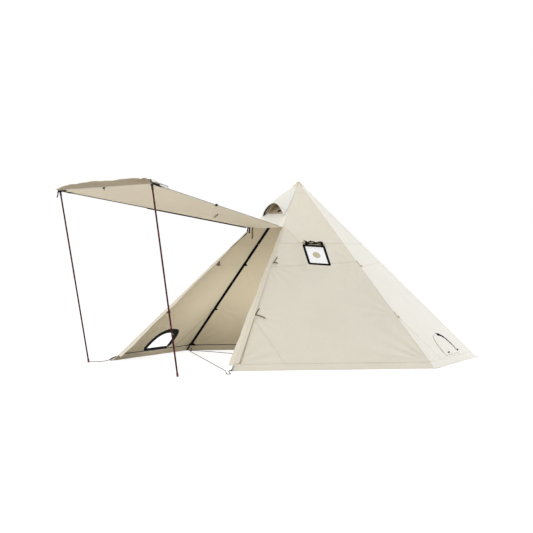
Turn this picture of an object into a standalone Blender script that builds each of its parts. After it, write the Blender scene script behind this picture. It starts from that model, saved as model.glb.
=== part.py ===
"""Six-sided tipi tent with its door panel raised on two poles as an awning.

Metres, +Z up. The origin is on the ground under the centre pole, and the door faces -Y.
"""
import math

import bmesh
import bpy
from mathutils import Vector

# Canopy
PEAK_HEIGHT = 2.20
FOOT_RADIUS = 2.24
FOOT_HEIGHT = 0.07
SKIRT_REACH = 0.10
SKIRT_HEM = 0.022
CLOTH = 0.0015
PEAK_OPENING = 0.06
CAP_SLANT = 0.20
CAP_CLOTH = 0.002
CAP_SHOULDER = 0.034
CAP_ROUNDS = (0.72, 0.42, 0.15)
CAP_BLUNT = 0.30
CAP_SWELL = 1.7
CAP_INNER_POINT = 0.001

# Clearance between pieces that touch, and how far the cutters reach through the cloth
SEAT = 0.0003
CUT = (-0.02, 0.02)

# Door and awning
DOOR_TOP_SLANT = 0.778
HEM_RADIUS = 0.003
HEM_INSET = 0.008
HEM_END = 0.001
AWNING_REACH = 2.432
AWNING_PITCH = math.radians(9.8)
AWNING_HALF_WIDTH = 0.93
AWNING_SAG = 0.028
AWNING_SAG_SHAPE = 0.9
AWNING_SELVEDGE = 0.05
AWNING_SKIRT = 0.19
AWNING_SKIRT_NARROW = 0.05
AWNING_SKIRT_INSET = 0.010
AWNING_SKIRT_GROW = 0.75
AWNING_SKIRT_PITCH = math.radians(7.0)
AWNING_SKIRT_WAVE = 0.010
AWNING_SKIRT_WAVES = 5.5
AWNING_CLOSED_TURN = math.radians(51.0)
CORNER_PATCH = (0.17, 0.032)
CORNER_PATCH_INSET = 0.002
CORNER_PATCH_CREASE = 0.035
WEBBING = 0.0014

# Storm flaps and zips along the door seams
STORM_TOP_WIDTH = 0.014
STORM_FOOT_WIDTH = 0.085
STORM_TOP_GAP = 0.06
STORM_FOOT_GAP = 0.0015
STORM_FULL_FROM = 0.158
ZIP_PLACKET = 0.0095
ZIP_DEPTH = 0.0052
ZIP_TAPE = 0.0014
ZIP_TEETH_IN = 0.0145
ZIP_TEETH_WIDTH = 0.0065
ZIP_TEETH_THICK = 0.004
ZIP_END_GAP = 0.002
SLIDER_LENGTH = 0.032
SLIDER_WALL = 0.0017
SLIDER_BACK = 0.0014
SLIDER_LIP = 0.0015
SLIDER_PLAY = 0.0005
SLIDER_START = 0.09
SLIDER_STOP = 0.06
PULL_TAB = (0.010, 0.060)
PULL_TAB_INSET = 0.001
PULL_TAB_THICK = 0.0016
PULL_TAB_LAP = 0.0004

# Top vent and hood: slants are measured down the wall from the peak
HOOD_MOUTH_SLANT = 0.486
HOOD_TOP_SLANT = 0.226
HOOD_MOUTH_HALF = 0.150
HOOD_TOP_HALF = 0.075
HOOD_RISE = 0.105
HOOD_TOP_RISE = 0.010
HOOD_BRIM = 0.045
HOOD_CLOTH = 0.002
HOOD_PIPING = 0.004
HOOD_PIPING_WIDTH = 0.008
HOOD_TAPER = 1.35
HOOD_LEAST_RISE = 0.001
ARCH_SPRING = 0.25
MESH_HALF = 0.11
MESH_LOW_SLANT = 0.451
MESH_HIGH_SLANT = 0.261
MESH_LAP = 0.012
MESH_THICK = 0.001

# Stove jack on the right front wall
STOVE_ACROSS = 0.050
STOVE_UP = 1.642
STOVE_TILT = math.radians(-5.0)
STOVE_SIZE = (0.226, 0.272)
STOVE_BORDER = 0.024
STOVE_PANEL = 0.0022
STOVE_PORT = 0.046
STOVE_PORT_PROUD = 0.0008
STOVE_FRAME_LAP = 0.004
STOVE_ROLL = 0.017
STOVE_ROLL_CORE = 0.006
STOVE_ROLL_CLOTH = 0.003
STOVE_ROLL_TURNS = 2.25
STOVE_ROLL_TAIL = 0.028

# Low vents, as D shapes with a bound edge and a cloth flap hinged at the foot
VENT_WIDTH = 0.66
VENT_HEIGHT = 0.285
VENT_UP = 0.040
VENT_LEFT_ACROSS = 0.055
VENT_RIGHT_ACROSS = 0.125
VENT_CURVE = 2.5
VENT_BORDER_IN = 0.036
VENT_BORDER_OUT = 0.010
VENT_BINDING = 0.0012
VENT_BINDING_FOOT = 0.004
VENT_MITRE_LIMIT = 0.35
FLAP_LAP = 0.016
FLAP_BEAD = 0.0024
FLAP_BEAD_INSET = 0.004
FLAP_OPEN = math.radians(146.0)

# Seam webbing, guy-out patches and peg loops
SEAM_WING = 0.016
SEAM_FOOT_GAP = 0.002
SEAM_TOP_GAP = 0.02
GUY_UPS = (1.50, 0.70)
GUY_PATCH = 0.105
GUY_PATCH_POINT = (0.079, 0.042)
GUY_LOOP = 0.034
GUY_LOOP_HALF = 0.008
GUY_LOOP_IN = 0.030
GUY_LOOP_DROP = 0.0105
GUY_LOOP_CLOTH = 0.003
PEG_LOOP_WIDTH = 0.030
PEG_LOOP_OUT = 0.055
PEG_LOOP_THICK = 0.003
PEG_LOOP_LAP = 0.010
PEG_LOOP_INSET = 0.012
PEG_SLOT_EDGE = 0.008
PEG_SLOT_START = 0.014

# Poles: outer radius and wall
POLE_RADIUS = 0.0095
POLE_WALL = 0.0012
MAST_RADIUS = 0.016
MAST_WALL = 0.0015
POLE_SECTIONS = 4
SPIGOT = 0.05
SOCKET = 0.03
MAST_DISC = (0.045, 0.008)
MAST_DISC_EDGE = (0.004, 0.0032)
MAST_DISC_FILLET = (0.004, 0.006)
MAST_FLOOR = 0.004
MAST_TIP = 0.018
MAST_TIP_NECK = 0.012
FITTING_WALL = 0.003
POLE_FOOT_TIP = (0.006, 0.012)
POLE_FOOT_TAPER = 0.006
POLE_NECK = 0.0044
LEFT_POLE_FOOT = (-1.067, -2.406)
RIGHT_POLE_FOOT = (1.460, -2.974)
POLE_KNOB = 0.0125
# Where a pole points when folded: across from the middle, reach from the hinge, and the tilt of its axis
LEFT_POLE_FOLD = (0.24, 0.30, math.radians(-10))
RIGHT_POLE_FOLD = (0.0, 0.50, math.radians(10))
POLE_FOLD_GAP = 0.045
POLE_IN_FROM_EDGE = 0.015

# Cords
GROUND_CORD = 0.008
FOOT_CORD = 0.008
TIE_CORD = 0.006
BEND_STEP = math.radians(12)
CORD_END_HEIGHT = 0.040
CORD_END_OFF = 0.0026
CORD_END_ACROSS = 1.09
CORD_END_RISE = (-0.085, -0.048, -0.025, -CORD_END_OFF)
CORD_START_HEIGHTS = (0.058, 0.040, 0.018)
CORD_IN_TENSIONER = 0.035
TENSIONER_START = (-1.112, -2.070, 0.021)
TENSIONER_HEIGHT = 0.050
TENSIONER_OFF = 0.0043
# Radius along the tensioner, as shares of its length
TENSIONER_PROFILE = (
    (0.0045, 0.0), (0.0075, 0.08), (0.0085, 0.35), (0.0065, 0.6), (0.0075, 0.85), (0.004, 1.0),
)
TIE_IN = 0.018

# Cord routes on the ground, chosen by hand
FRONT_CORD = [
    (1.161, -2.0109, 0.0082), (1.176, -2.0369, 0.0062), (1.200, -2.0785, 0.0044), (1.340, -2.1841, 0.0042),
    (1.460, -2.2747, 0.0042), (1.5250, -2.3237, 0.0042), (1.5262, -2.3491, 0.0042), (1.5031, -2.3521, 0.0042),
    (1.450, -2.3123, 0.0042), (1.10, -2.050, 0.0042), (0.55, -1.715, 0.0042), (0.0, -1.380, 0.0042),
    (-0.70, -0.952, 0.0042), (-1.40, -0.525, 0.0042), (-1.85, -0.250, 0.0042), (-2.10, -0.096, 0.0043),
]
CROSS_CORD = [
    (-2.10, 0.030, 0.0043), (-1.85, 0.040, 0.0042), (-1.2, -0.010, 0.0042), (-0.5, -0.070, 0.0042),
    (0.0, -0.085, 0.0042), (0.5, -0.080, 0.0042), (1.2, -0.055, 0.0042), (1.85, -0.034, 0.0042),
    (2.10, -0.026, 0.0043),
]
FOOT_ROUTE = [
    (-1.0804, -2.4060, 0.0042), (-1.0925, -2.4005, 0.0042), (-1.102, -2.385, 0.0042),
    (-1.104, -2.355, 0.0042), (-1.104, -2.300, 0.0042), (-1.104, -2.220, 0.0042), (-1.104, -2.160, 0.0046),
]

# The tie's way from the awning's corner, as steps from where it is sewn on
CORNER_TIE = [
    (0.0, 0.0, 0.0), (-0.010, 0.0026, -0.0005), (-0.021, 0.004, -0.007), (-0.027, 0.003, -0.020),
    (-0.027, 0.000, -0.036), (-0.026, -0.003, -0.052), (-0.032, -0.004, -0.067), (-0.040, -0.003, -0.080),
]

SKIRT_RADIUS = FOOT_RADIUS + SKIRT_REACH
APOTHEM = FOOT_RADIUS * math.cos(math.pi / 6)
RISE = PEAK_HEIGHT - FOOT_HEIGHT
SLANT = math.hypot(APOTHEM, RISE)
LEAN_OUT = RISE / SLANT
LEAN_UP = APOTHEM / SLANT
HALF_TAN = math.tan(math.pi / 6)
MITRE = SEAT / 2 / math.cos(math.pi / 6)
DOOR_TOP_UP = SLANT - DOOR_TOP_SLANT
HOOD_MOUTH_UP = SLANT - HOOD_MOUTH_SLANT
HOOD_TOP_UP = SLANT - HOOD_TOP_SLANT
MESH_LOW_UP = SLANT - MESH_LOW_SLANT
MESH_HIGH_UP = SLANT - MESH_HIGH_SLANT
UP = Vector((0, 0, 1))

FACES = ("front", "right_front", "right_rear", "rear", "left_rear", "left_front")
FRONT, RIGHT_FRONT, RIGHT_REAR, REAR, LEFT_REAR, LEFT_FRONT = range(6)

# Each ground corner has one peg loop, at the left (-1) or right (1) end of one of its two skirts
PEG_LOOP_SIDES = {RIGHT_FRONT: (-1,), RIGHT_REAR: (-1,), REAR: (-1, 1), LEFT_REAR: (), LEFT_FRONT: (-1, 1)}

CLOTH_LOOK = ("cloth", (0.74, 0.68, 0.58), 0.85, 0.0)
LINING_LOOK = ("awning_cloth", (0.66, 0.58, 0.45), 0.85, 0.0)
BLACK_LOOK = ("black_webbing", (0.012, 0.012, 0.012), 0.7, 0.0)
RED_LOOK = ("red_tube", (0.20, 0.012, 0.018), 0.3, 0.8)
PLASTIC_LOOK = ("black_plastic", (0.015, 0.015, 0.016), 0.45, 0.0)
STOVE_LOOK = ("stove_panel", (0.86, 0.86, 0.84), 0.7, 0.0)
PORT_LOOK = ("stove_port", (0.62, 0.50, 0.32), 0.7, 0.0)
MESH_LOOK = ("vent_mesh", (0.02, 0.02, 0.02), 0.9, 0.0)
CORD_LOOK = ("cord", (0.30, 0.24, 0.14), 0.8, 0.0)
METAL_LOOK = ("zip_metal", (0.05, 0.05, 0.055), 0.4, 0.8)


def material(look):
    name, colour, roughness, metallic = look
    found = bpy.data.materials.get(name)
    if found:
        return found
    made = bpy.data.materials.new(name)
    made.use_nodes = True
    shader = made.node_tree.nodes["Principled BSDF"]
    shader.inputs["Base Color"].default_value = (*colour, 1)
    shader.inputs["Roughness"].default_value = roughness
    shader.inputs["Metallic"].default_value = metallic
    made.diffuse_color = (*colour, 1)
    return made


def finish_mesh(name, bm, look, pivot=None, smooth=None):
    """Turns a bmesh in world coordinates into an object whose origin is the pivot."""
    origin = Vector(pivot) if pivot else Vector((0, 0, 0))
    bmesh.ops.recalc_face_normals(bm, faces=bm.faces)
    if bm.calc_volume(signed=True) < 0:
        bmesh.ops.reverse_faces(bm, faces=bm.faces)
    bmesh.ops.translate(bm, verts=bm.verts, vec=-origin)
    mesh = bpy.data.meshes.new(name)
    bm.to_mesh(mesh)
    bm.free()
    if smooth:
        mesh.shade_smooth()
        mesh.set_sharp_from_angle(angle=math.radians(smooth))
    thing = bpy.data.objects.new(name, mesh)
    thing.location = origin
    thing.data.materials.append(material(look))
    bpy.context.scene.collection.objects.link(thing)
    return thing


def loft(name, rings, look, pivot=None, closed=False, smooth=None):
    """Skins a row of rings that have as many points each; closed joins the last to the first."""
    bm = bmesh.new()
    rows = [[bm.verts.new(point) for point in ring] for ring in rings]
    spans = list(zip(rows, rows[1:]))
    if closed:
        spans.append((rows[-1], rows[0]))
    for low, high in spans:
        for i in range(len(low)):
            j = (i + 1) % len(low)
            bm.faces.new((low[i], low[j], high[j], high[i]))
    if not closed:
        bm.faces.new(reversed(rows[0]))
        bm.faces.new(rows[-1])
    return finish_mesh(name, bm, look, pivot, smooth)


def plate(name, outline, place, low, high, look, pivot=None, smooth=None):
    """Extrudes a flat outline between two offsets; place(x, y, w) gives the point."""
    bm = bmesh.new()
    face = bm.faces.new([bm.verts.new(place(x, y, low)) for x, y in outline])
    raised = bmesh.ops.extrude_face_region(bm, geom=[face])["geom"]
    step = place(0, 0, high) - place(0, 0, low)
    moved = [item for item in raised if isinstance(item, bmesh.types.BMVert)]
    bmesh.ops.translate(bm, verts=moved, vec=step)
    return finish_mesh(name, bm, look, pivot, smooth)


def boolean(target, tools, operation):
    """Cuts or joins the tools, which stay in the file as wire guides."""
    for tool in tools:
        change = target.modifiers.new(tool.name, "BOOLEAN")
        change.operation = operation
        change.object = tool
        tool.hide_render = True
        tool.display_type = "WIRE"
        tool.hide_viewport = False


def face_axes(face):
    turn = math.radians(-90 + 60 * face)
    out = Vector((math.cos(turn), math.sin(turn), 0))
    along = Vector((-math.sin(turn), math.cos(turn), 0))
    return out, along


def wall_point(face, across, up, w=0.0):
    """Point on a wall: across to the right seen from outside, up the slope from its foot, w outward."""
    out, along = face_axes(face)
    reach = (SLANT - up) * LEAN_UP + w * LEAN_OUT
    height = FOOT_HEIGHT + up * LEAN_OUT + w * LEAN_UP
    return out * reach + along * across + UP * height


def wall_place(face, across=0.0, up=0.0, turn=0.0):
    """A place function for a plate that lies on a wall, turned about its own centre."""
    def place(x, y, w):
        c, s = math.cos(turn), math.sin(turn)
        return wall_point(face, across + x * c - y * s, up + x * s + y * c, w)
    return place


def seam_across(up, w=0.0):
    """Half the width of a wall at a height up its slope, less the mitre gap."""
    reach = (SLANT - up) * LEAN_UP + w * LEAN_OUT
    return HALF_TAN * reach - MITRE


def hip_strip(name, face, section, look):
    """A strip with the section (reach, height), mitred at both corners of one side."""
    out, along = face_axes(face)
    ends = []
    for side in (-1, 1):
        ends.append([out * r + UP * z + along * side * (HALF_TAN * r - MITRE) for r, z in section])
    return loft(name, ends, look)


def wall_section(up_low, up_high, w_low, w_high):
    corners = ((up_low, w_high), (up_high, w_high), (up_high, w_low), (up_low, w_low))
    return [((SLANT - up) * LEAN_UP + w * LEAN_OUT, FOOT_HEIGHT + up * LEAN_OUT + w * LEAN_UP)
            for up, w in corners]


def vent_outline(grow=0.0, steps=26):
    """The D shape of a low vent, grown by an offset; points run round it from the right foot."""
    points = []
    half = VENT_WIDTH / 2
    power = 2 / VENT_CURVE
    for i in range(steps + 1):
        turn = math.pi * i / steps
        x = half * math.copysign(abs(math.cos(turn)) ** power, math.cos(turn))
        y = VENT_HEIGHT * abs(math.sin(turn)) ** power
        points.append(Vector((x, y)))
    grown = []
    count = len(points)
    for i, point in enumerate(points):
        before = points[i - 1] if i else points[-1]
        after = points[(i + 1) % count]
        one = (point - before).normalized()
        two = (after - point).normalized()
        normal_one = Vector((one.y, -one.x))
        normal_two = Vector((two.y, -two.x))
        middle = (normal_one + normal_two).normalized()
        grown.append(point + middle * grow / max(VENT_MITRE_LIMIT, middle.dot(normal_one)))
    return grown


def guy_patch(face, up, side):
    """A triangular patch with a webbing loop, sewn on a wall beside its seam."""
    edge = seam_across(up) - CLOTH
    slope = HALF_TAN * LEAN_UP
    half = GUY_PATCH / 2
    inward, down = GUY_PATCH_POINT
    outline = [
        (side * (edge - slope * half), up + half),
        (side * (edge + slope * half), up - half),
        (side * (edge - inward), up - down),
    ]
    patch = plate(f"cut_guy_{face}_{up}_{side}", outline, wall_place(face), -CLOTH / 2, CLOTH, CLOTH_LOOK)
    middle = side * (edge - GUY_LOOP_IN)
    left, right = middle - GUY_LOOP_HALF, middle + GUY_LOOP_HALF
    loop = ((left, -CLOTH / 2), (left, GUY_LOOP), (right, GUY_LOOP), (right, -CLOTH / 2))
    base = up - GUY_LOOP_DROP
    rings = []
    for y in (base - GUY_LOOP_CLOTH / 2, base + GUY_LOOP_CLOTH / 2):
        rings.append([wall_point(face, x, y, w) for x, w in loop])
    return [patch, loft(f"cut_guy_loop_{face}_{up}_{side}", rings, CLOTH_LOOK)]


def make_walls():
    walls = {}
    for face in range(1, 6):
        section = wall_section(0.0, SLANT - PEAK_OPENING, -CLOTH, 0.0)
        walls[face] = hip_strip(f"wall_{FACES[face]}", face, section, CLOTH_LOOK)
        patches = []
        for up in GUY_UPS:
            patches += guy_patch(face, up, -1)
            if face == LEFT_FRONT:
                patches += guy_patch(face, up, 1)
        boolean(walls[face], patches, "UNION")
    low = DOOR_TOP_UP + HEM_RADIUS + SEAT
    section = wall_section(low, SLANT - PEAK_OPENING, -CLOTH, 0.0)
    front = hip_strip("wall_front_upper", FRONT, section, CLOTH_LOOK)
    opening = arch_outline(MESH_HALF, MESH_LOW_UP, MESH_HIGH_UP)
    cutter = plate("cut_top_vent", opening, wall_place(FRONT), *CUT, CLOTH_LOOK)
    boolean(front, [cutter], "DIFFERENCE")
    half_x, half_y = (size / 2 + SEAT for size in STOVE_SIZE)
    corners = ((-half_x, -half_y), (half_x, -half_y), (half_x, half_y), (-half_x, half_y))
    place = wall_place(RIGHT_FRONT, STOVE_ACROSS, STOVE_UP, STOVE_TILT)
    cutter = plate("cut_stove_jack", corners, place, *CUT, CLOTH_LOOK)
    boolean(walls[RIGHT_FRONT], [cutter], "DIFFERENCE")
    for face, across in ((LEFT_FRONT, VENT_LEFT_ACROSS), (RIGHT_REAR, VENT_RIGHT_ACROSS)):
        place = wall_place(face, across, VENT_UP)
        cutter = plate(f"cut_vent_{FACES[face]}", vent_outline(), place, *CUT, CLOTH_LOOK)
        boolean(walls[face], [cutter], "DIFFERENCE")


def arch_outline(half, low, high, steps=10):
    """A round-topped arch standing on a straight foot."""
    spring = low + (high - low) * ARCH_SPRING
    points = [(-half, low), (half, low)]
    for i in range(1, steps):
        turn = math.pi * i / steps
        points.append((half * math.cos(turn), spring + (high - spring) * math.sin(turn)))
    return points


def make_skirts():
    hem_reach = SKIRT_RADIUS * math.cos(math.pi / 6)
    bend = hem_reach - SKIRT_HEM
    outer_top, _, _, inner_top = wall_section(-SEAT, 0.0, -CLOTH, 0.0)
    section = [
        outer_top,
        (bend, CLOTH),
        (hem_reach, CLOTH),
        (hem_reach, 0.0),
        (bend - CLOTH / LEAN_OUT, 0.0),
        inner_top,
    ]
    far = HALF_TAN * hem_reach - PEG_LOOP_INSET
    near = far - PEG_LOOP_WIDTH
    slot_far, slot_near = far - PEG_SLOT_EDGE, near + PEG_SLOT_EDGE
    slot_out = PEG_LOOP_OUT - PEG_SLOT_EDGE
    for face in range(1, 6):
        skirt = hip_strip(f"skirt_{FACES[face]}", face, section, CLOTH_LOOK)
        out, along = face_axes(face)

        def place(x, y, w, out=out, along=along):
            return out * (hem_reach + y) + along * x + UP * w

        for side in PEG_LOOP_SIDES[face]:
            outline = ((side * near, -PEG_LOOP_LAP), (side * far, -PEG_LOOP_LAP),
                       (side * far, PEG_LOOP_OUT), (side * near, PEG_LOOP_OUT))
            tab = plate(f"cut_peg_loop_{face}_{side}", outline, place, 0.0, PEG_LOOP_THICK, CLOTH_LOOK)
            slot = ((side * slot_near, PEG_SLOT_START), (side * slot_far, PEG_SLOT_START),
                    (side * slot_far, slot_out), (side * slot_near, slot_out))
            hole = plate(f"cut_peg_slot_{face}_{side}", slot, place, *CUT, CLOTH_LOOK)
            boolean(skirt, [tab], "UNION")
            boolean(skirt, [hole], "DIFFERENCE")


def make_peak_cap():
    """Six-sided cap with a slightly rounded point, over the walls' open tips."""
    low_up = SLANT - CAP_SLANT
    outer_w = SEAT + CAP_CLOTH

    def ring(up, w, reach=None, height=None):
        r = (SLANT - up) * LEAN_UP + w * LEAN_OUT if reach is None else reach
        z = FOOT_HEIGHT + up * LEAN_OUT + w * LEAN_UP if height is None else height
        r /= math.cos(math.pi / 6)
        return [Vector((r * math.cos(t), r * math.sin(t), z)) for t in
                (math.radians(60 * i) for i in range(6))]

    inner_tip = PEAK_HEIGHT + SEAT / LEAN_UP - CAP_INNER_POINT
    point_reach = CAP_INNER_POINT * LEAN_UP / LEAN_OUT
    rings = [ring(0, 0, point_reach, inner_tip), ring(low_up, SEAT), ring(low_up, outer_w)]
    rings.append(ring(SLANT - CAP_SHOULDER, outer_w))
    top = PEAK_HEIGHT + outer_w / LEAN_UP
    shoulder_reach = CAP_SHOULDER * LEAN_UP + outer_w * LEAN_OUT
    for share in CAP_ROUNDS:
        drop = shoulder_reach * LEAN_OUT / LEAN_UP * (CAP_BLUNT + (1 - CAP_BLUNT) * share ** CAP_SWELL)
        rings.append(ring(0, 0, shoulder_reach * share, top - drop))
    return loft("peak_cap", rings, CLOTH_LOOK)


def make_hood():
    """Arched hood over the top vent: a lofted shell that narrows up the slope, with a piped rim."""
    stations = 6
    arc = 12
    rings = []
    for k in range(stations + 1):
        share = k / stations
        ease = share ** HOOD_TAPER
        half = HOOD_MOUTH_HALF + (HOOD_TOP_HALF - HOOD_MOUTH_HALF) * ease
        rise = HOOD_RISE + (HOOD_TOP_RISE - HOOD_RISE) * ease
        up = HOOD_MOUTH_UP + (HOOD_TOP_UP - HOOD_MOUTH_UP) * share
        thick = HOOD_PIPING if k == 0 else HOOD_CLOTH
        for repeat in range(2 if k == 0 else 1):
            shift = HOOD_PIPING_WIDTH * repeat
            outer = []
            inner = []
            for i in range(arc + 1):
                turn = math.pi * i / arc
                lean = HOOD_BRIM * (1 - share) * math.sin(turn)
                outer.append(wall_point(FRONT, half * math.cos(turn), up + shift - lean,
                                        SEAT + rise * math.sin(turn)))
                inner.append(wall_point(FRONT, (half - thick) * math.cos(turn), up + shift - lean,
                                        SEAT + max(rise - thick, HOOD_LEAST_RISE) * math.sin(turn)))
            rings.append(outer + inner[::-1])
    loft("vent_hood", rings, CLOTH_LOOK, smooth=40)
    outline = arch_outline(MESH_HALF + MESH_LAP, MESH_LOW_UP - MESH_LAP, MESH_HIGH_UP + MESH_LAP)
    high = -CLOTH - SEAT
    plate("vent_mesh", outline, wall_place(FRONT), high - MESH_THICK, high, MESH_LOOK)


def make_stove_jack():
    place = wall_place(RIGHT_FRONT, STOVE_ACROSS, STOVE_UP, STOVE_TILT)
    half_x, half_y = (size / 2 for size in STOVE_SIZE)
    circle = [(math.cos(t), math.sin(t)) for t in (2 * math.pi * i / 32 for i in range(32))]
    corners = ((-half_x, -half_y), (half_x, -half_y), (half_x, half_y), (-half_x, half_y))
    panel = plate("stove_jack_panel", corners, place, -STOVE_PANEL, 0.0, STOVE_LOOK)
    grown = [(x * (STOVE_PORT + SEAT), y * (STOVE_PORT + SEAT)) for x, y in circle]
    boolean(panel, [plate("cut_stove_port", grown, place, *CUT, STOVE_LOOK)], "DIFFERENCE")
    port = [(x * STOVE_PORT, y * STOVE_PORT) for x, y in circle]
    plate("stove_jack_port", port, place, -STOVE_PANEL, STOVE_PORT_PROUD, PORT_LOOK)
    frame_x, frame_y = half_x + STOVE_BORDER, half_y + STOVE_BORDER
    corners = ((-frame_x, -frame_y), (frame_x, -frame_y), (frame_x, frame_y), (-frame_x, frame_y))
    frame = plate("stove_jack_frame", corners, place, SEAT, SEAT + WEBBING, BLACK_LOOK)
    inner_x, inner_y = half_x - STOVE_FRAME_LAP, half_y - STOVE_FRAME_LAP
    corners = ((-inner_x, -inner_y), (inner_x, -inner_y), (inner_x, inner_y), (-inner_x, inner_y))
    boolean(frame, [plate("cut_stove_frame", corners, place, *CUT, BLACK_LOOK)], "DIFFERENCE")
    make_flap_roll(place, frame_x, frame_y + SEAT)


def make_flap_roll(place, half, low):
    """Rain flap of the stove jack: sewn down by a flat tail and rolled up into a spiral."""
    steps = 40
    centre_y = low + STOVE_ROLL
    centre_w = SEAT + STOVE_ROLL
    outer = [(centre_y + STOVE_ROLL_TAIL, SEAT)]
    inner = [(centre_y + STOVE_ROLL_TAIL, SEAT + STOVE_ROLL_CLOTH)]
    for i in range(steps + 1):
        share = i / steps
        turn = -math.pi / 2 - share * STOVE_ROLL_TURNS * 2 * math.pi
        radius = STOVE_ROLL + (STOVE_ROLL_CORE - STOVE_ROLL) * share
        for row, r in ((outer, radius), (inner, radius - STOVE_ROLL_CLOTH)):
            row.append((centre_y + r * math.cos(turn), centre_w + r * math.sin(turn)))
    profile = outer + inner[::-1]
    rings = [[place(x, y, w) for y, w in profile] for x in (-half, half)]
    loft("stove_flap_roll", rings, CLOTH_LOOK, smooth=40)


def u_binding(name, face, across):
    """Edge binding of a vent: a U section swept round the D outline, wide inside and narrow outside."""
    inside = -CLOTH - SEAT
    back = inside - VENT_BINDING
    front = SEAT + VENT_BINDING
    section = (
        (VENT_BORDER_IN, inside), (-SEAT, inside), (-SEAT, SEAT), (VENT_BORDER_OUT, SEAT),
        (VENT_BORDER_OUT, front), (-SEAT - VENT_BINDING, front), (-SEAT - VENT_BINDING, back),
        (VENT_BORDER_IN, back),
    )
    outlines = {grow: vent_outline(grow) for grow in {offset for offset, w in section}}
    place = wall_place(face, across, VENT_UP)
    rings = []
    for i in range(len(vent_outline())):
        ring = []
        for offset, w in section:
            point = outlines[offset][i]
            y = max(point.y, VENT_BINDING_FOOT - VENT_UP) if offset == VENT_BORDER_IN else point.y
            ring.append(place(point.x, y, w))
        rings.append(ring)
    return loft(name, rings, BLACK_LOOK, closed=True)


def make_vents():
    for side, face, across, turn in (("left", LEFT_FRONT, VENT_LEFT_ACROSS, FLAP_OPEN),
                                     ("right", RIGHT_REAR, VENT_RIGHT_ACROSS, 0.0)):
        u_binding(f"vent_binding_{side}", face, across)
        hinge_up = VENT_UP - VENT_BORDER_OUT - SEAT - FLAP_BEAD
        pivot = wall_point(face, across, hinge_up, SEAT + FLAP_BEAD)
        out, along = face_axes(face)
        low_w = 2 * SEAT + VENT_BINDING
        place = wall_place(face, across, VENT_UP)
        outline = [(point.x, point.y) for point in vent_outline(FLAP_LAP)]
        foot = hinge_up - VENT_UP
        outline = [(x, foot) if y < 0 else (x, y) for x, y in outline]
        flap = plate(f"vent_flap_{side}", outline, place, low_w, low_w + CLOTH, CLOTH_LOOK, pivot)
        bead_half = outline[0][0] - FLAP_BEAD_INSET
        rings = []
        for x in (-bead_half, bead_half):
            ring = []
            for i in range(10):
                t = 2 * math.pi * i / 10
                ring.append(wall_point(face, across + x, hinge_up + FLAP_BEAD * math.cos(t),
                                       SEAT + FLAP_BEAD + FLAP_BEAD * math.sin(t)))
            rings.append(ring)
        hinge = loft(f"cut_vent_bead_{side}", rings, CLOTH_LOOK, pivot)
        boolean(flap, [hinge], "UNION")
        # A positive turn about the along axis lays the flap outward and down
        for piece in (flap, hinge):
            piece.rotation_mode = "AXIS_ANGLE"
            piece.rotation_axis_angle = (turn, *along)
        print(f"vent_flap_{side} pos", tuple(round(v, 5) for v in pivot), "axis",
              tuple(round(v, 6) for v in along))


def make_seam_webbing():
    """V-shaped webbing inside each closed seam."""
    names = {RIGHT_FRONT: "seam_webbing_right", RIGHT_REAR: "seam_webbing_rear_right",
             REAR: "seam_webbing_rear_left", LEFT_REAR: "seam_webbing_left"}
    for face, name in names.items():
        rings = []
        for up in (SEAM_FOOT_GAP, SLANT - PEAK_OPENING - SEAM_TOP_GAP):
            near = -CLOTH - SEAT
            far = near - WEBBING
            ring = []
            for w, order in ((near, 1), (far, -1)):
                corner = HALF_TAN * ((SLANT - up) * LEAN_UP + w * LEAN_OUT)
                here = wall_point(face, corner - SEAM_WING, up, w)
                middle = wall_point(face, corner, up, w)
                there = wall_point(face + 1, -corner + SEAM_WING, up, w)
                ring += (here, middle, there)[::order]
            rings.append(ring)
        loft(name, rings, BLACK_LOOK)


def seam_place(side):
    """Local frame of a door seam: x into the doorway, y down the seam from the door top, w outward."""
    top = wall_point(FRONT, side * (HALF_TAN * (SLANT - DOOR_TOP_UP) * LEAN_UP), DOOR_TOP_UP)
    foot = wall_point(FRONT, side * (HALF_TAN * SLANT * LEAN_UP), 0.0)
    down = (foot - top).normalized()
    normal = (wall_point(FRONT, 0, 0, 1) - wall_point(FRONT, 0, 0, 0)).normalized()
    inward = down.cross(normal) * side
    if inward.x * side > 0:
        inward = -inward

    def place(x, y, w):
        return top + inward * x + down * y + normal * w
    return place, down, (foot - top).length


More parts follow.
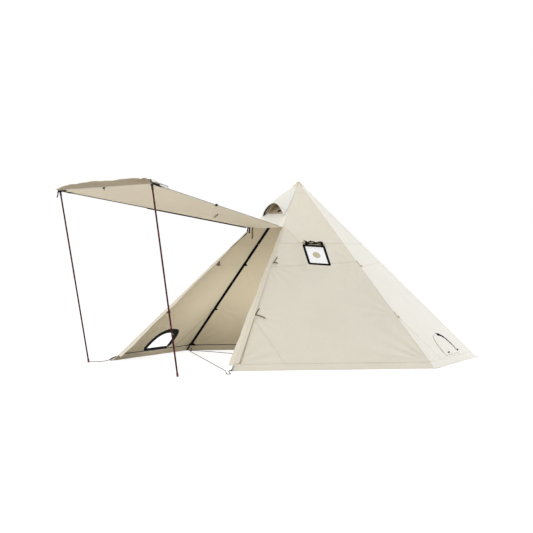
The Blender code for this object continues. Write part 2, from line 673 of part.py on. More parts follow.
def make_door_edges():
    for side, word in ((-1, "left"), (1, "right")):
        place, down, length = seam_place(side)
        edge = SEAT + CLOTH * HALF_TAN * LEAN_OUT
        outline = [
            (edge, STORM_TOP_GAP), (edge + STORM_TOP_WIDTH, STORM_TOP_GAP),
            (edge + STORM_FOOT_WIDTH, length - STORM_FULL_FROM),
            (edge + STORM_FOOT_WIDTH, length - STORM_FOOT_GAP),
            (edge, length - STORM_FOOT_GAP),
        ]
        plate(f"storm_flap_{word}", outline, place, -CLOTH, 0.0, CLOTH_LOOK)
        under = -CLOTH - SEAT
        teeth_high = -ZIP_DEPTH
        teeth_low = teeth_high - ZIP_TEETH_THICK
        middle = (teeth_high + teeth_low) / 2
        section = [
            (edge, under), (ZIP_PLACKET, under), (ZIP_PLACKET, middle + ZIP_TAPE / 2),
            (ZIP_TEETH_IN, middle + ZIP_TAPE / 2), (ZIP_TEETH_IN, teeth_high),
            (ZIP_TEETH_IN + ZIP_TEETH_WIDTH, teeth_high), (ZIP_TEETH_IN + ZIP_TEETH_WIDTH, teeth_low),
            (ZIP_TEETH_IN, teeth_low), (ZIP_TEETH_IN, middle - ZIP_TAPE / 2),
            (ZIP_PLACKET, middle - ZIP_TAPE / 2), (edge + ZIP_TAPE, under - ZIP_TAPE),
            (edge, under - ZIP_TAPE / 2),
        ]
        rings = [[place(x, y, w) for x, w in section] for y in (STORM_TOP_GAP, length - ZIP_END_GAP)]
        loft(f"door_zip_{word}", rings, BLACK_LOOK)
        make_slider(word, place, teeth_high, teeth_low, middle)
        reach = length - SLIDER_STOP - SLIDER_START
        print(f"zip_slider_{word} axis", tuple(round(v, 6) for v in down), "travel", round(reach, 4))


def make_slider(word, place, teeth_high, teeth_low, middle):
    """Zip slider: a C section round the teeth, with a pull tab below it."""
    left = ZIP_TEETH_IN - SLIDER_LIP
    inner_right = ZIP_TEETH_IN + ZIP_TEETH_WIDTH + SLIDER_PLAY
    right = inner_right + SLIDER_WALL
    high = teeth_high + SLIDER_PLAY
    low = teeth_low - SLIDER_PLAY
    slot = ZIP_TAPE / 2 + SLIDER_PLAY
    section = [
        (left, high + SLIDER_BACK), (right, high + SLIDER_BACK), (right, low - SLIDER_WALL),
        (left, low - SLIDER_WALL), (left, middle - slot), (ZIP_TEETH_IN - SLIDER_PLAY, middle - slot),
        (ZIP_TEETH_IN - SLIDER_PLAY, low), (inner_right, low), (inner_right, high),
        (ZIP_TEETH_IN - SLIDER_PLAY, high), (ZIP_TEETH_IN - SLIDER_PLAY, middle + slot),
        (left, middle + slot),
    ]
    start = SLIDER_START
    rings = [[place(x, y, w) for x, w in section] for y in (start, start + SLIDER_LENGTH)]
    pivot = place(ZIP_TEETH_IN, start + SLIDER_LENGTH / 2, middle)
    slider = loft(f"zip_slider_{word}", rings, METAL_LOOK, pivot)
    tab_w = low - SLIDER_WALL
    near, far = left + PULL_TAB_INSET, right - PULL_TAB_INSET
    first, last = (start + step for step in PULL_TAB)
    outline = ((near, first), (far, first), (far, last), (near, last))
    tab_low, tab_high = tab_w - PULL_TAB_THICK, tab_w + PULL_TAB_LAP
    tab = plate(f"cut_pull_{word}", outline, place, tab_low, tab_high, METAL_LOOK, pivot)
    boolean(slider, [tab], "UNION")


def awning_point(across, reach, w=0.0):
    """Point of the raised door panel: reach from its hinge, w up from its underside of no sag."""
    hinge = wall_point(FRONT, 0, DOOR_TOP_UP, -CLOTH / 2)
    return hinge + Vector((across, -math.cos(AWNING_PITCH) * reach + math.sin(AWNING_PITCH) * w,
                           math.sin(AWNING_PITCH) * reach + math.cos(AWNING_PITCH) * w))


def awning_half(reach):
    top = seam_across(DOOR_TOP_UP) - HEM_INSET
    return top + (AWNING_HALF_WIDTH - top) * reach / AWNING_REACH


def awning_sag(share_across, reach):
    """How far the panel hangs below its flat plane: nothing in its taut edges, most in the middle."""
    inner = min(1.0, abs(share_across) / (1 - AWNING_SELVEDGE))
    return AWNING_SAG * (1 - inner ** 2) * math.sin(math.pi * reach / AWNING_REACH) ** AWNING_SAG_SHAPE


def bead(name, ends, radius, look, pivot, sides=10):
    """A sewn hem: a round bead between two points."""
    start, end = (Vector(point) for point in ends)
    axis = (end - start).normalized()
    one = axis.orthogonal().normalized()
    two = axis.cross(one)
    ring = [one * math.cos(t) * radius + two * math.sin(t) * radius
            for t in (2 * math.pi * i / sides for i in range(sides))]
    return loft(name, [[start + p for p in ring], [end + p for p in ring]], look, pivot)


def make_awning():
    across_steps, reach_steps = 10, 12
    pivot = awning_point(0, 0)
    half_cloth = CLOTH / 2
    inside = 1 - AWNING_SELVEDGE
    near, far = HEM_RADIUS / 2, AWNING_REACH - HEM_RADIUS - SEAT
    shares = [-1] + [inside * (2 * i / across_steps - 1) for i in range(across_steps + 1)] + [1]
    rings = []
    for share in shares:
        top = []
        under = []
        for j in range(reach_steps + 1):
            reach = near + (far - near) * j / reach_steps
            sag = awning_sag(share, reach)
            across = share * awning_half(reach)
            top.append(awning_point(across, reach, half_cloth - sag))
            under.append(awning_point(across, reach, -half_cloth - sag))
        rings.append(top + under[::-1])
    panel = loft("awning_panel", rings, LINING_LOOK, pivot)
    ends = [awning_point(side * (awning_half(0) - HEM_END), 0) for side in (-1, 1)]
    boolean(panel, [bead("cut_awning_hem", ends, HEM_RADIUS, LINING_LOOK, pivot)], "UNION")
    make_awning_skirt()
    for side, word in ((-1, "left"), (1, "right")):
        make_corner_patch(side, word)
    print("awning_lift pos", tuple(round(v, 5) for v in pivot),
          "closed turn", math.degrees(AWNING_CLOSED_TURN))


def make_awning_skirt():
    """The door's own skirt beyond the poles: a hemmed band in soft waves that grow to its free edge."""
    across_steps, reach_steps = 36, 4
    pivot = awning_point(0, AWNING_REACH)
    half_line = AWNING_HALF_WIDTH - AWNING_SKIRT_INSET
    half_cloth = CLOTH / 2
    rings = []
    for i in range(across_steps + 1):
        share = -1 + 2 * i / across_steps
        grow = min(1.0, (share + 1) / AWNING_SKIRT_GROW)
        width = AWNING_SKIRT_NARROW + (AWNING_SKIRT - AWNING_SKIRT_NARROW) * math.sin(grow * math.pi / 2)
        top = []
        under = []
        for j in range(reach_steps + 1):
            out = HEM_RADIUS / 2 + width * j / reach_steps
            wave = AWNING_SKIRT_WAVE * math.sin(math.pi * AWNING_SKIRT_WAVES * (share + 1))
            wave *= j / reach_steps
            lift = out * math.sin(AWNING_SKIRT_PITCH) + wave
            reach = AWNING_REACH + out * math.cos(AWNING_SKIRT_PITCH)
            top.append(awning_point(share * half_line, reach, lift + half_cloth))
            under.append(awning_point(share * half_line, reach, lift - half_cloth))
        rings.append(top + under[::-1])
    skirt = loft("awning_skirt", rings, LINING_LOOK, pivot)
    ends = [awning_point(side * (half_line - HEM_END), AWNING_REACH) for side in (-1, 1)]
    boolean(skirt, [bead("cut_skirt_hem", ends, HEM_RADIUS, LINING_LOOK, pivot)], "UNION")
    print("awning_skirt_fold pos", tuple(round(v, 5) for v in pivot))


def make_corner_patch(side, word):
    """Webbing under the awning's corner, along its side edge; the pole top seats under it."""
    length, width = CORNER_PATCH
    end = AWNING_REACH - 2 * HEM_RADIUS - SEAT
    rings = []
    for reach in (end, end - CORNER_PATCH_CREASE, end - length):
        edge = awning_half(reach) - CORNER_PATCH_INSET
        inner = edge - width
        high = -CLOTH / 2 - SEAT
        low = high - WEBBING
        ring = []
        for across, w in ((edge, high), (inner, high), (inner, low), (edge, low)):
            ring.append(awning_point(side * across, reach, w))
        rings.append(ring)
    loft(f"awning_corner_webbing_{word}", rings, BLACK_LOOK)


def knob_centre(side):
    reach = AWNING_REACH - 2 * HEM_RADIUS - POLE_IN_FROM_EDGE
    across = awning_half(reach) - POLE_IN_FROM_EDGE
    drop = CLOTH / 2 + SEAT + WEBBING + SEAT + POLE_KNOB
    return awning_point(side * across, reach, -drop)


def turned(name, profile, base, axis, look, sides=12, pivot=None, closed=False):
    """Turns a profile of (radius, height) about an axis from a base point."""
    axis = Vector(axis).normalized()
    one = axis.orthogonal().normalized()
    two = axis.cross(one)
    angles = [2 * math.pi * k / sides for k in range(sides)]
    if closed:
        rings = [[base + axis * h + (one * math.cos(t) + two * math.sin(t)) * r for r, h in profile]
                 for t in angles]
        return loft(name, rings, look, pivot, closed=True, smooth=30)
    rings = [[base + axis * h + (one * math.cos(t) + two * math.sin(t)) * r for t in angles]
             for r, h in profile]
    return loft(name, rings, look, pivot, smooth=30)


def make_sections(prefix, base, top, radius, wall, look, sides, pivot=None):
    """Tube sections from base to top; each one's swaged spigot fits the bore of the next."""
    span = top - base
    axis = span.normalized()
    pitch = span.length / POLE_SECTIONS
    bore = radius - wall
    spigot = bore - SEAT
    inner = spigot - wall
    for k in range(POLE_SECTIONS):
        low = pitch * k + (SEAT if k else 0)
        high = pitch * (k + 1)
        if k < POLE_SECTIONS - 1:
            profile = [(radius, low), (radius, high), (spigot, high), (spigot, high + SPIGOT),
                       (inner, high + SPIGOT), (inner, high - SPIGOT / 2), (bore, high - SPIGOT / 2),
                       (bore, low)]
        else:
            profile = [(radius, low), (radius, high), (bore, high), (bore, low)]
        turned(f"{prefix}_section_{k + 1}", profile, base, axis, look, sides, pivot, closed=True)


def make_awning_pole(side, word, foot, fold):
    """Awning pole from its round top under the awning corner to its rubber foot on the ground."""
    centre = knob_centre(side)
    outer = POLE_RADIUS + FITTING_WALL
    tip_radius, tip_below = POLE_FOOT_TIP
    foot_rings = [(tip_radius, -tip_below), (outer, -POLE_FOOT_TAPER)]
    ground = Vector((*foot, tip_below))
    for again in range(6):
        axis = (centre - ground).normalized()
        tilt = math.sqrt(1 - axis.z ** 2)
        ground.z = max(-h * axis.z + r * tilt for r, h in foot_rings)
    top = centre - axis * (POLE_NECK + SOCKET / 2)
    base = ground + axis * SEAT
    make_sections(f"awning_pole_{word}", base, top, POLE_RADIUS, POLE_WALL, RED_LOOK, 12, centre)
    cup = POLE_RADIUS + SEAT
    profile = foot_rings + [(outer, SOCKET), (cup, SOCKET), (cup, 0.0)]
    turned(f"awning_pole_{word}_foot", profile, ground, axis, PLASTIC_LOOK, 12, centre)
    steps = 5
    down = -(POLE_NECK + SOCKET * 1.5)
    profile = [(cup, -(POLE_NECK + SOCKET / 2) + SEAT), (cup, down), (POLE_KNOB, down), (POLE_KNOB, 0.0)]
    for k in range(1, steps):
        t = math.pi / 2 * k / steps
        profile.append((POLE_KNOB * math.cos(t), POLE_KNOB * math.sin(t)))
    turned(f"awning_pole_{word}_top", profile, centre, axis, PLASTIC_LOOK, 12, centre)
    across, reach, tilt = fold
    hanging = (ground - centre).normalized()
    folded = (awning_point(side * across, reach, -POLE_FOLD_GAP) - centre).normalized()
    turn_axis = hanging.cross(folded).normalized() * math.cos(tilt)
    turn_axis += (hanging + folded).normalized() * math.sin(tilt)
    start = hanging - turn_axis * hanging.dot(turn_axis)
    turn = start.angle(folded - turn_axis * folded.dot(turn_axis))
    print(f"awning_pole_{word} pos", tuple(round(v, 5) for v in centre), "axis",
          tuple(round(v, 6) for v in turn_axis), "turn", round(math.degrees(turn), 3),
          "length", round((centre - ground).length, 3), "foot height", round(ground.z, 4))
    return ground, axis


def make_mast():
    """Centre pole: foot disc on the ground, four sections, and a round tip under the cap."""
    disc_radius, disc_height = MAST_DISC
    cup = MAST_RADIUS + SEAT
    outer = cup + FITTING_WALL
    floor = disc_height + MAST_FLOOR
    edge_in, edge_down = MAST_DISC_EDGE
    fillet_out, fillet_up = MAST_DISC_FILLET
    profile = [(disc_radius, 0.0), (disc_radius, disc_height - edge_down),
               (disc_radius - edge_in, disc_height), (outer + fillet_out, disc_height),
               (outer, disc_height + fillet_up), (outer, floor + SOCKET),
               (cup, floor + SOCKET), (cup, floor)]
    turned("centre_pole_foot", profile, Vector((0, 0, 0)), UP, PLASTIC_LOOK, 24)
    tip_centre = PEAK_HEIGHT - MAST_TIP / LEAN_UP
    base = Vector((0, 0, floor + SEAT))
    top = Vector((0, 0, tip_centre - SOCKET))
    make_sections("centre_pole", base, top, MAST_RADIUS, MAST_WALL, RED_LOOK, 16)
    profile = [(cup, -SOCKET + SEAT), (cup, -2 * SOCKET), (outer, -2 * SOCKET), (outer, -MAST_TIP_NECK),
               (MAST_TIP, 0.0)]
    steps = 6
    for k in range(1, steps):
        t = math.pi / 2 * k / steps
        profile.append((MAST_TIP * math.cos(t), MAST_TIP * math.sin(t)))
    turned("centre_pole_tip", profile, Vector((0, 0, tip_centre)), UP, PLASTIC_LOOK, 16)


def smooth_route(points, floor):
    """Points on a smooth curve through the route's own points, closer in its bends and above the floor."""
    route = [Vector(point) for point in points]
    steps = [after - before for before, after in zip(route, route[1:])]
    headings = [steps[0].normalized()]
    for before, after in zip(steps, steps[1:]):
        blend = before.normalized() / before.length + after.normalized() / after.length
        headings.append(blend.normalized())
    headings.append(steps[-1].normalized())
    line = []
    for start, step, heading, leaving in zip(route, steps, headings, headings[1:]):
        pieces = 1 + int((heading.angle(step) + leaving.angle(step)) / BEND_STEP)
        for k in range(pieces):
            t = k / pieces
            point = start + step * (3 - 2 * t) * t ** 2
            point += heading * step.length * t * (1 - t) ** 2 - leaving * step.length * t ** 2 * (1 - t)
            point.z = max(point.z, floor)
            line.append(point)
    line.append(route[-1])
    return line


def cord(name, points, diameter, look):
    line = smooth_route(points, diameter / 2 + SEAT / 2)
    curve = bpy.data.curves.new(name, "CURVE")
    curve.dimensions = "3D"
    curve.bevel_depth = diameter / 2
    curve.bevel_resolution = 2
    curve.use_fill_caps = True
    spline = curve.splines.new("POLY")
    spline.points.add(len(line) - 1)
    for place, point in zip(spline.points, line):
        place.co = (*point, 1)
    thing = bpy.data.objects.new(name, curve)
    thing.data.materials.append(material(look))
    bpy.context.scene.collection.objects.link(thing)
    length = sum((after - before).length for before, after in zip(line, line[1:]))
    print(name, "length", round(length, 3), "points", len(line))


def skirt_side(turn, height, off, across=0.0, corner=False):
    """Point off the outer side of a skirt's slope at a height; the turn is that of its side or corner."""
    stretch = 1 / math.cos(math.pi / 6) if corner else 1.0
    bend = SKIRT_RADIUS * math.cos(math.pi / 6) - SKIRT_HEM
    run = (bend - APOTHEM) * stretch / (FOOT_HEIGHT - CLOTH)
    lean = math.hypot(1, run)
    reach = APOTHEM * stretch + run * (FOOT_HEIGHT - height) + off / lean
    out = Vector((math.cos(turn), math.sin(turn), 0))
    along = Vector((-math.sin(turn), math.cos(turn), 0))
    return out * reach + along * across + UP * (height + off * run / lean)


def sewn_end(face, across):
    """Last points of a ground cord, which rises from the ground to the inner side of a skirt."""
    turn = math.radians(-90 + 60 * face)
    points = [skirt_side(turn, CORD_END_HEIGHT, off, across) for off in CORD_END_RISE]
    points[0].z = GROUND_CORD / 2 + SEAT
    return points


def make_cords():
    beside = GROUND_CORD / 2 + SEAT
    start = [skirt_side(math.radians(-60), height, beside, corner=True) for height in CORD_START_HEIGHTS]
    front_end = sewn_end(LEFT_FRONT, -CORD_END_ACROSS)
    cord("ground_cord_front", start + FRONT_CORD + front_end, GROUND_CORD, CORD_LOOK)
    left_end = sewn_end(LEFT_REAR, CORD_END_ACROSS)[::-1]
    right_end = sewn_end(RIGHT_FRONT, CORD_END_ACROSS)
    cord("ground_cord_cross", left_end + CROSS_CORD + right_end, GROUND_CORD, CORD_LOOK)
    start = Vector(TENSIONER_START)
    end = skirt_side(math.radians(-120), TENSIONER_HEIGHT, TENSIONER_OFF, corner=True)
    axis = (end - start).normalized()
    length = (end - start).length
    profile = [(radius, length * share) for radius, share in TENSIONER_PROFILE]
    turned("foot_cord_tensioner", profile, start, axis, RED_LOOK, 12)
    into = [start - axis * CORD_IN_TENSIONER, start - axis * SEAT]
    cord("pole_foot_cord", FOOT_ROUTE + into, FOOT_CORD, CORD_LOOK)
    reach = AWNING_REACH - TIE_IN
    corner = awning_point(-awning_half(reach) - 2 * SEAT, reach)
    cord("awning_corner_tie", [corner + Vector(step) for step in CORNER_TIE], TIE_CORD, BLACK_LOOK)


def main():
    for thing in list(bpy.data.objects):
        bpy.data.objects.remove(thing)
    make_walls()
    make_skirts()
    make_peak_cap()
    make_hood()
    make_stove_jack()
    make_vents()
    make_seam_webbing()
    make_door_edges()
    make_awning()
    make_awning_pole(-1, "left", LEFT_POLE_FOOT, LEFT_POLE_FOLD)
    make_awning_pole(1, "right", RIGHT_POLE_FOOT, RIGHT_POLE_FOLD)
    make_mast()
    make_cords()


main()
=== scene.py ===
"""Looks of the six-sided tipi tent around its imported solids.

Metres, +Z up. The origin is on the ground under the centre pole, and the door faces -Y.
"""
from math import ceil, copysign, cos, hypot, pi, radians, sin, tan

import bpy
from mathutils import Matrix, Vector
from mathutils.geometry import delaunay_2d_cdt
from mathutils.kdtree import KDTree
import numpy as np
from numpy import array, asarray, interp, linspace


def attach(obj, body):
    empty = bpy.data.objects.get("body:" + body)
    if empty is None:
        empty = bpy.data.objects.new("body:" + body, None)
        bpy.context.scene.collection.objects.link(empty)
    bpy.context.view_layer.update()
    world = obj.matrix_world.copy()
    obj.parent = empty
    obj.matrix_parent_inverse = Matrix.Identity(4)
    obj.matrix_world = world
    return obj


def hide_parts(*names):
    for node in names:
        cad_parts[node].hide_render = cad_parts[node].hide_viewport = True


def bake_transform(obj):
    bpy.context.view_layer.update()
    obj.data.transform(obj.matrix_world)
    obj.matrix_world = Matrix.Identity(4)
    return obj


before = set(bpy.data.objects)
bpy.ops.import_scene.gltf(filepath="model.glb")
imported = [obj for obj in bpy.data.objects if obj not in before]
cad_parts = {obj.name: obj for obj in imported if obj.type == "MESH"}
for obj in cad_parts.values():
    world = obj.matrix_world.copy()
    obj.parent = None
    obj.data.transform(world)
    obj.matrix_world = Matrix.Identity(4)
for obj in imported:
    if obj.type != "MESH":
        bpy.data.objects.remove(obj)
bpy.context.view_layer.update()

# Sizes of the solids, as the part's own source gives them
PEAK_HEIGHT, FOOT_RADIUS, FOOT_HEIGHT = 2.20, 2.24, 0.07
SKIRT_REACH, SKIRT_HEM, CLOTH, SEAT = 0.10, 0.022, 0.0015, 0.0003
PEAK_OPENING, CAP_SLANT, DOOR_TOP_SLANT, HEM_INSET = 0.06, 0.20, 0.778, 0.008
AWNING_REACH, AWNING_HALF_WIDTH, AWNING_SAG, AWNING_PITCH = 2.432, 0.93, 0.028, radians(9.8)
AWNING_SKIRT, AWNING_SKIRT_NARROW, AWNING_SKIRT_PITCH = 0.19, 0.05, radians(7.0)
STORM_TOP_WIDTH, STORM_FOOT_WIDTH, STORM_TOP_GAP = 0.014, 0.085, 0.06
ZIP_TEETH_IN, ZIP_TEETH_WIDTH, ZIP_DEPTH = 0.0145, 0.0065, 0.0052
MESH_HALF, MESH_LOW_SLANT, MESH_HIGH_SLANT = 0.11, 0.451, 0.261
STOVE_ACROSS, STOVE_UP, STOVE_TILT, STOVE_SIZE = 0.050, 1.642, radians(-5.0), (0.226, 0.272)
STOVE_BORDER, STOVE_PORT, STOVE_ROLL = 0.024, 0.046, 0.017
VENT_WIDTH, VENT_HEIGHT, VENT_UP, VENT_CURVE = 0.66, 0.285, 0.040, 2.5
VENT_LEFT_ACROSS, VENT_RIGHT_ACROSS, VENT_BORDER_IN, VENT_BORDER_OUT = 0.055, 0.125, 0.036, 0.010
FLAP_LAP, FLAP_OPEN, FLAP_BEAD = 0.016, radians(146.0), 0.0024
GUY_UPS, GUY_PATCH = (1.50, 0.70), 0.105
PEG_LOOP_WIDTH, PEG_LOOP_OUT, PEG_LOOP_INSET, PEG_SLOT_EDGE = 0.030, 0.055, 0.012, 0.008
POLE_RADIUS, POLE_SECTIONS = 0.0095, 4
POLE_FEET = {"left": (-1.067, -2.406), "right": (1.460, -2.974)}
GROUND_CORD, FOOT_CORD, TIE_CORD, BEND_STEP = 0.008, 0.008, 0.006, radians(12)
CORD_END_HEIGHT, CORD_END_ACROSS, CORD_END_RISE = 0.040, 1.09, (-0.085, -0.048, -0.025, -0.0026)
CORD_START_HEIGHTS = (0.058, 0.040, 0.018)
TENSIONER_START, TENSIONER_HEIGHT, TENSIONER_OFF = (-1.112, -2.070, 0.021), 0.050, 0.0043
TIE_IN = 0.018

# Sizes of the render alone, where it follows the photograph further than the solids
HOOD_FOOT_SLANT, HOOD_TOP_SLANT, HOOD_RIM_BACK, HOOD_ARCH, HOOD_RISE_POWER = 0.590, 0.100, 0.098, 0.130, 0.72
HOOD_ASIDE, HOOD_NARROW, HOOD_FOOT_IN = 0.026, -0.015, 0.036
NET_HALF, NET_LOW_SLANT = 0.150, 0.540
STOVE_SKEW, VENT_LAP, SEAM_WING = 0.185, 0.017, 0.029

# Seams on each side panel, as (across, up) ends: two cloth joints, and the foot corner's triangle
PANEL_SEAMS = (((-1.0, 1.455), (1.0, 1.535)), ((-1.0, 1.840), (1.0, 1.840)), ((-1.0, 0.700), (-0.545, 0.0)))
GUSSET_SEAM = ((-1.0, 2.127), (-0.12, 1.848))

SKIRT_RADIUS = FOOT_RADIUS + SKIRT_REACH
APOTHEM = FOOT_RADIUS * cos(pi / 6)
HEM_REACH = SKIRT_RADIUS * cos(pi / 6)
RISE = PEAK_HEIGHT - FOOT_HEIGHT
SLANT = hypot(APOTHEM, RISE)
LEAN_OUT = RISE / SLANT
LEAN_UP = APOTHEM / SLANT
HALF_TAN = tan(pi / 6)
DOOR_TOP_UP = SLANT - DOOR_TOP_SLANT
FRONT, RIGHT_FRONT, RIGHT_REAR, REAR, LEFT_REAR, LEFT_FRONT = range(6)
FACES = ("front", "right_front", "right_rear", "rear", "left_rear", "left_front")
PEG_LOOP_SIDES = {RIGHT_FRONT: (-1,), RIGHT_REAR: (-1,), REAR: (-1, 1), LEFT_REAR: (), LEFT_FRONT: (-1, 1)}
SIDES = ((-1, "left"), (1, "right"))

# Cord routes, the same points as in the part's source
FRONT_CORD = [
    (1.161, -2.0109, 0.0082), (1.176, -2.0369, 0.0062), (1.200, -2.0785, 0.0044), (1.340, -2.1841, 0.0042),
    (1.460, -2.2747, 0.0042), (1.5250, -2.3237, 0.0042), (1.5262, -2.3491, 0.0042), (1.5031, -2.3521, 0.0042),
    (1.450, -2.3123, 0.0042), (1.10, -2.050, 0.0042), (0.55, -1.715, 0.0042), (0.0, -1.380, 0.0042),
    (-0.70, -0.952, 0.0042), (-1.40, -0.525, 0.0042), (-1.85, -0.250, 0.0042), (-2.10, -0.096, 0.0043),
]
CROSS_CORD = [
    (-2.10, 0.030, 0.0043), (-1.85, 0.040, 0.0042), (-1.2, -0.010, 0.0042), (-0.5, -0.070, 0.0042),
    (0.0, -0.085, 0.0042), (0.5, -0.080, 0.0042), (1.2, -0.055, 0.0042), (1.85, -0.034, 0.0042),
    (2.10, -0.026, 0.0043),
]
FOOT_ROUTE = [
    (-1.0804, -2.4060, 0.0042), (-1.0925, -2.4005, 0.0042), (-1.102, -2.385, 0.0042),
    (-1.104, -2.355, 0.0042), (-1.104, -2.300, 0.0042), (-1.104, -2.220, 0.0042), (-1.104, -2.160, 0.0046),
]
CORNER_TIE = [
    (0.0, 0.0, 0.0), (-0.010, 0.0026, -0.0005), (-0.021, 0.004, -0.007), (-0.027, 0.003, -0.020),
    (-0.027, 0.000, -0.036), (-0.026, -0.003, -0.052), (-0.032, -0.004, -0.067), (-0.040, -0.003, -0.080),
]

# The photograph's camera
CAMERA_AT = (13.783, -12.216, 1.1616)
CAMERA_ALONG = (-0.7626, 0.6470, -0.0008)
CAMERA_LENS = 99.86

UP = array((0.0, 0.0, 1.0))

# Body and slot of a piece
TENT, TENT_BLACK, TENT_ZIP = ("tent", "canopy_cloth"), ("tent", "black_webbing"), ("tent", "zip_tape")
AWNING, AWNING_BLACK, AWNING_ZIP = ("awning", "awning_cloth"), ("awning", "black_webbing"), ("awning", "zip_tape")

# Points that pull on a wall: share of its half width, up the slope, height of the folds, their reach and count
PULLS = ((-1, 0.0, 0.0060, 0.55, 17), (1, 0.0, 0.0060, 0.50, 19), (-1, 0.70, 0.0042, 0.30, 15),
         (1, 0.70, 0.0034, 0.30, 14), (-1, 1.50, 0.0034, 0.28, 14), (1, 1.50, 0.0034, 0.28, 15))

# Stiff, sewn-in spots that hold the cloth flat: face, middle across and up, and half sizes
STIFF_SPOTS = (
    (RIGHT_FRONT, STOVE_ACROSS, STOVE_UP, 0.15, 0.18),
    (LEFT_FRONT, VENT_LEFT_ACROSS, 0.18, 0.38, 0.20),
    (RIGHT_REAR, VENT_RIGHT_ACROSS, 0.18, 0.38, 0.20),
)


def face_axes(face):
    turn = radians(-90 + 60 * face)
    return array((cos(turn), sin(turn), 0.0)), array((-sin(turn), cos(turn), 0.0))


def spread(*values):
    """Values as arrays of one shape, with a last axis for the three coordinates."""
    return (asarray(value, float)[..., None] for value in np.broadcast_arrays(*values))


def wall_point(face, across, up, w=0.0):
    """Points on a wall's plane: across to the right seen from outside, up the slope, w outward."""
    out, along = face_axes(face)
    across, up, w = spread(across, up, w)
    reach = (SLANT - up) * LEAN_UP + w * LEAN_OUT
    return out * reach + along * across + UP * (FOOT_HEIGHT + up * LEAN_OUT + w * LEAN_UP)


def wall_half(up):
    return HALF_TAN * (SLANT - up) * LEAN_UP


def smooth(t):
    t = np.clip(t, 0, 1)
    return t * t * (3 - 2 * t)


def ripple(x, y, wave, seed, count=5):
    """A smooth uneven surface of about one wavelength, from a few crossing waves."""
    rng = np.random.default_rng(seed)
    total = 0.0
    for _ in range(count):
        turn = rng.uniform(0, 2 * pi)
        pitch = 2 * pi / (wave * rng.uniform(0.7, 1.5))
        total = total + np.sin((x * cos(turn) + y * sin(turn)) * pitch + rng.uniform(0, 6.28))
    return total / count


def pull(x, y, side, rise, reach, count, phase, start):
    """Folds that run out from a pulled point and fade away from it."""
    far = np.hypot(x, y)
    fold = np.sin(np.arctan2(y, -side * x) * count + phase) * np.exp(-(far / reach) ** 2)
    return rise * fold * smooth(far / start)


def drape(face, across, up):
    """How far a wall's cloth lies off its plane: a slight hollow, folds from the pulled points, unevenness."""
    across, up = asarray(across, float), asarray(up, float)
    half = HALF_TAN * np.maximum(SLANT - up, 0.001) * LEAN_UP
    share = np.clip(np.abs(across) / half, 0, 1)
    w = -0.012 * (1 - share ** 2) * np.sin(pi * np.clip(up / SLANT, 0, 1)) ** 0.8
    w = w + 0.0030 * ripple(across, up, 0.75, 11 + face) + 0.0010 * ripple(across, up, 0.22, 31 + face)
    for k, (side, at, rise, reach, count) in enumerate(PULLS):
        w = w + pull(across - side * wall_half(at), up - at, side, rise, reach, count, 1.7 * k + face, 0.16)
    w = w * smooth((half - np.abs(across)) / 0.07) * smooth(up / 0.10)
    for where, x, y, half_x, half_y in STIFF_SPOTS:
        if where == face:
            far = np.maximum(np.abs(across - x) / half_x, np.abs(up - y) / half_y)
            w = w * smooth((far - 1.0) / 0.45)
    return w


def turned(x, y, across, up, turn):
    c, s = cos(turn), sin(turn)
    return across + x * c - y * s, up + x * s + y * c


def wall_place(face, across=0.0, up=0.0, turn=0.0, lift=0.0):
    """A place function for things that lie on a wall's cloth, turned about their own centre."""
    def place(x, y, w=0.0):
        at_x, at_y = turned(asarray(x, float), asarray(y, float), across, up, turn)
        return wall_point(face, at_x, at_y, drape(face, at_x, at_y) + w + lift)
    return place


# Materials

def set_inputs(node, **values):
    for name, value in values.items():
        node.inputs[name.replace("_", " ")].default_value = value
    return node


def mix(tree, kind, a, b, factor=1.0):
    node = tree.nodes.new("ShaderNodeMix")
    node.data_type = "RGBA"
    node.blend_type = kind
    for socket, value in ((node.inputs[0], factor), (node.inputs[6], a), (node.inputs[7], b)):
        if isinstance(value, bpy.types.NodeSocket):
            tree.links.new(value, socket)
        else:
            socket.default_value = value
    return node.outputs[2]


def texture(tree, kind, coordinate, **sockets):
    node = set_inputs(tree.nodes.new("ShaderNodeTex" + kind), **sockets)
    tree.links.new(coordinate, node.inputs["Vector"])
    return node


def noise(tree, place, **sockets):
    return texture(tree, "Noise", place, **sockets).outputs["Fac"]


def ramp(tree, value, low, high, dark, light):
    node = set_inputs(tree.nodes.new("ShaderNodeMapRange"), From_Min=low, From_Max=high, To_Min=dark, To_Max=light)
    tree.links.new(value, node.inputs["Value"])
    return node.outputs["Result"]


def bump(tree, height, strength, distance, below=None):
    node = set_inputs(tree.nodes.new("ShaderNodeBump"), Strength=strength, Distance=distance)
    tree.links.new(height, node.inputs["Height"])
    if below is not None:
        tree.links.new(below, node.inputs["Normal"])
    return node.outputs["Normal"]


def linear(colour):
    return (*(((c / 255 + 0.055) / 1.055) ** 2.4 if c > 10 else c / 255 / 12.92 for c in colour), 1)


def lighter(base, factor, more):
    return (*(min(1.0, c * factor + more) for c in base[:3]), 1)


def start_material(name, colour, roughness, metallic=0.0, coat=0.0, sheen=0.0, gloss=0.5):
    """A material with its even values set: it, its tree, a way to link to its shader, places and colour."""
    made = bpy.data.materials.new(name)
    made.use_nodes = True
    tree = made.node_tree
    base = linear(colour)
    shader = set_inputs(tree.nodes["Principled BSDF"], Base_Color=base, Roughness=roughness, Metallic=metallic,
                        Coat_Weight=coat, Sheen_Weight=sheen, Sheen_Roughness=0.5, Specular_IOR_Level=gloss)
    made.diffuse_color = base
    place = tree.nodes.new("ShaderNodeTexCoord")

    def link(**sockets):
        for socket, value in sockets.items():
            tree.links.new(value, shader.inputs[socket.replace("_", " ")])
    return made, tree, link, place.outputs["Object"], place.outputs["UV"], base


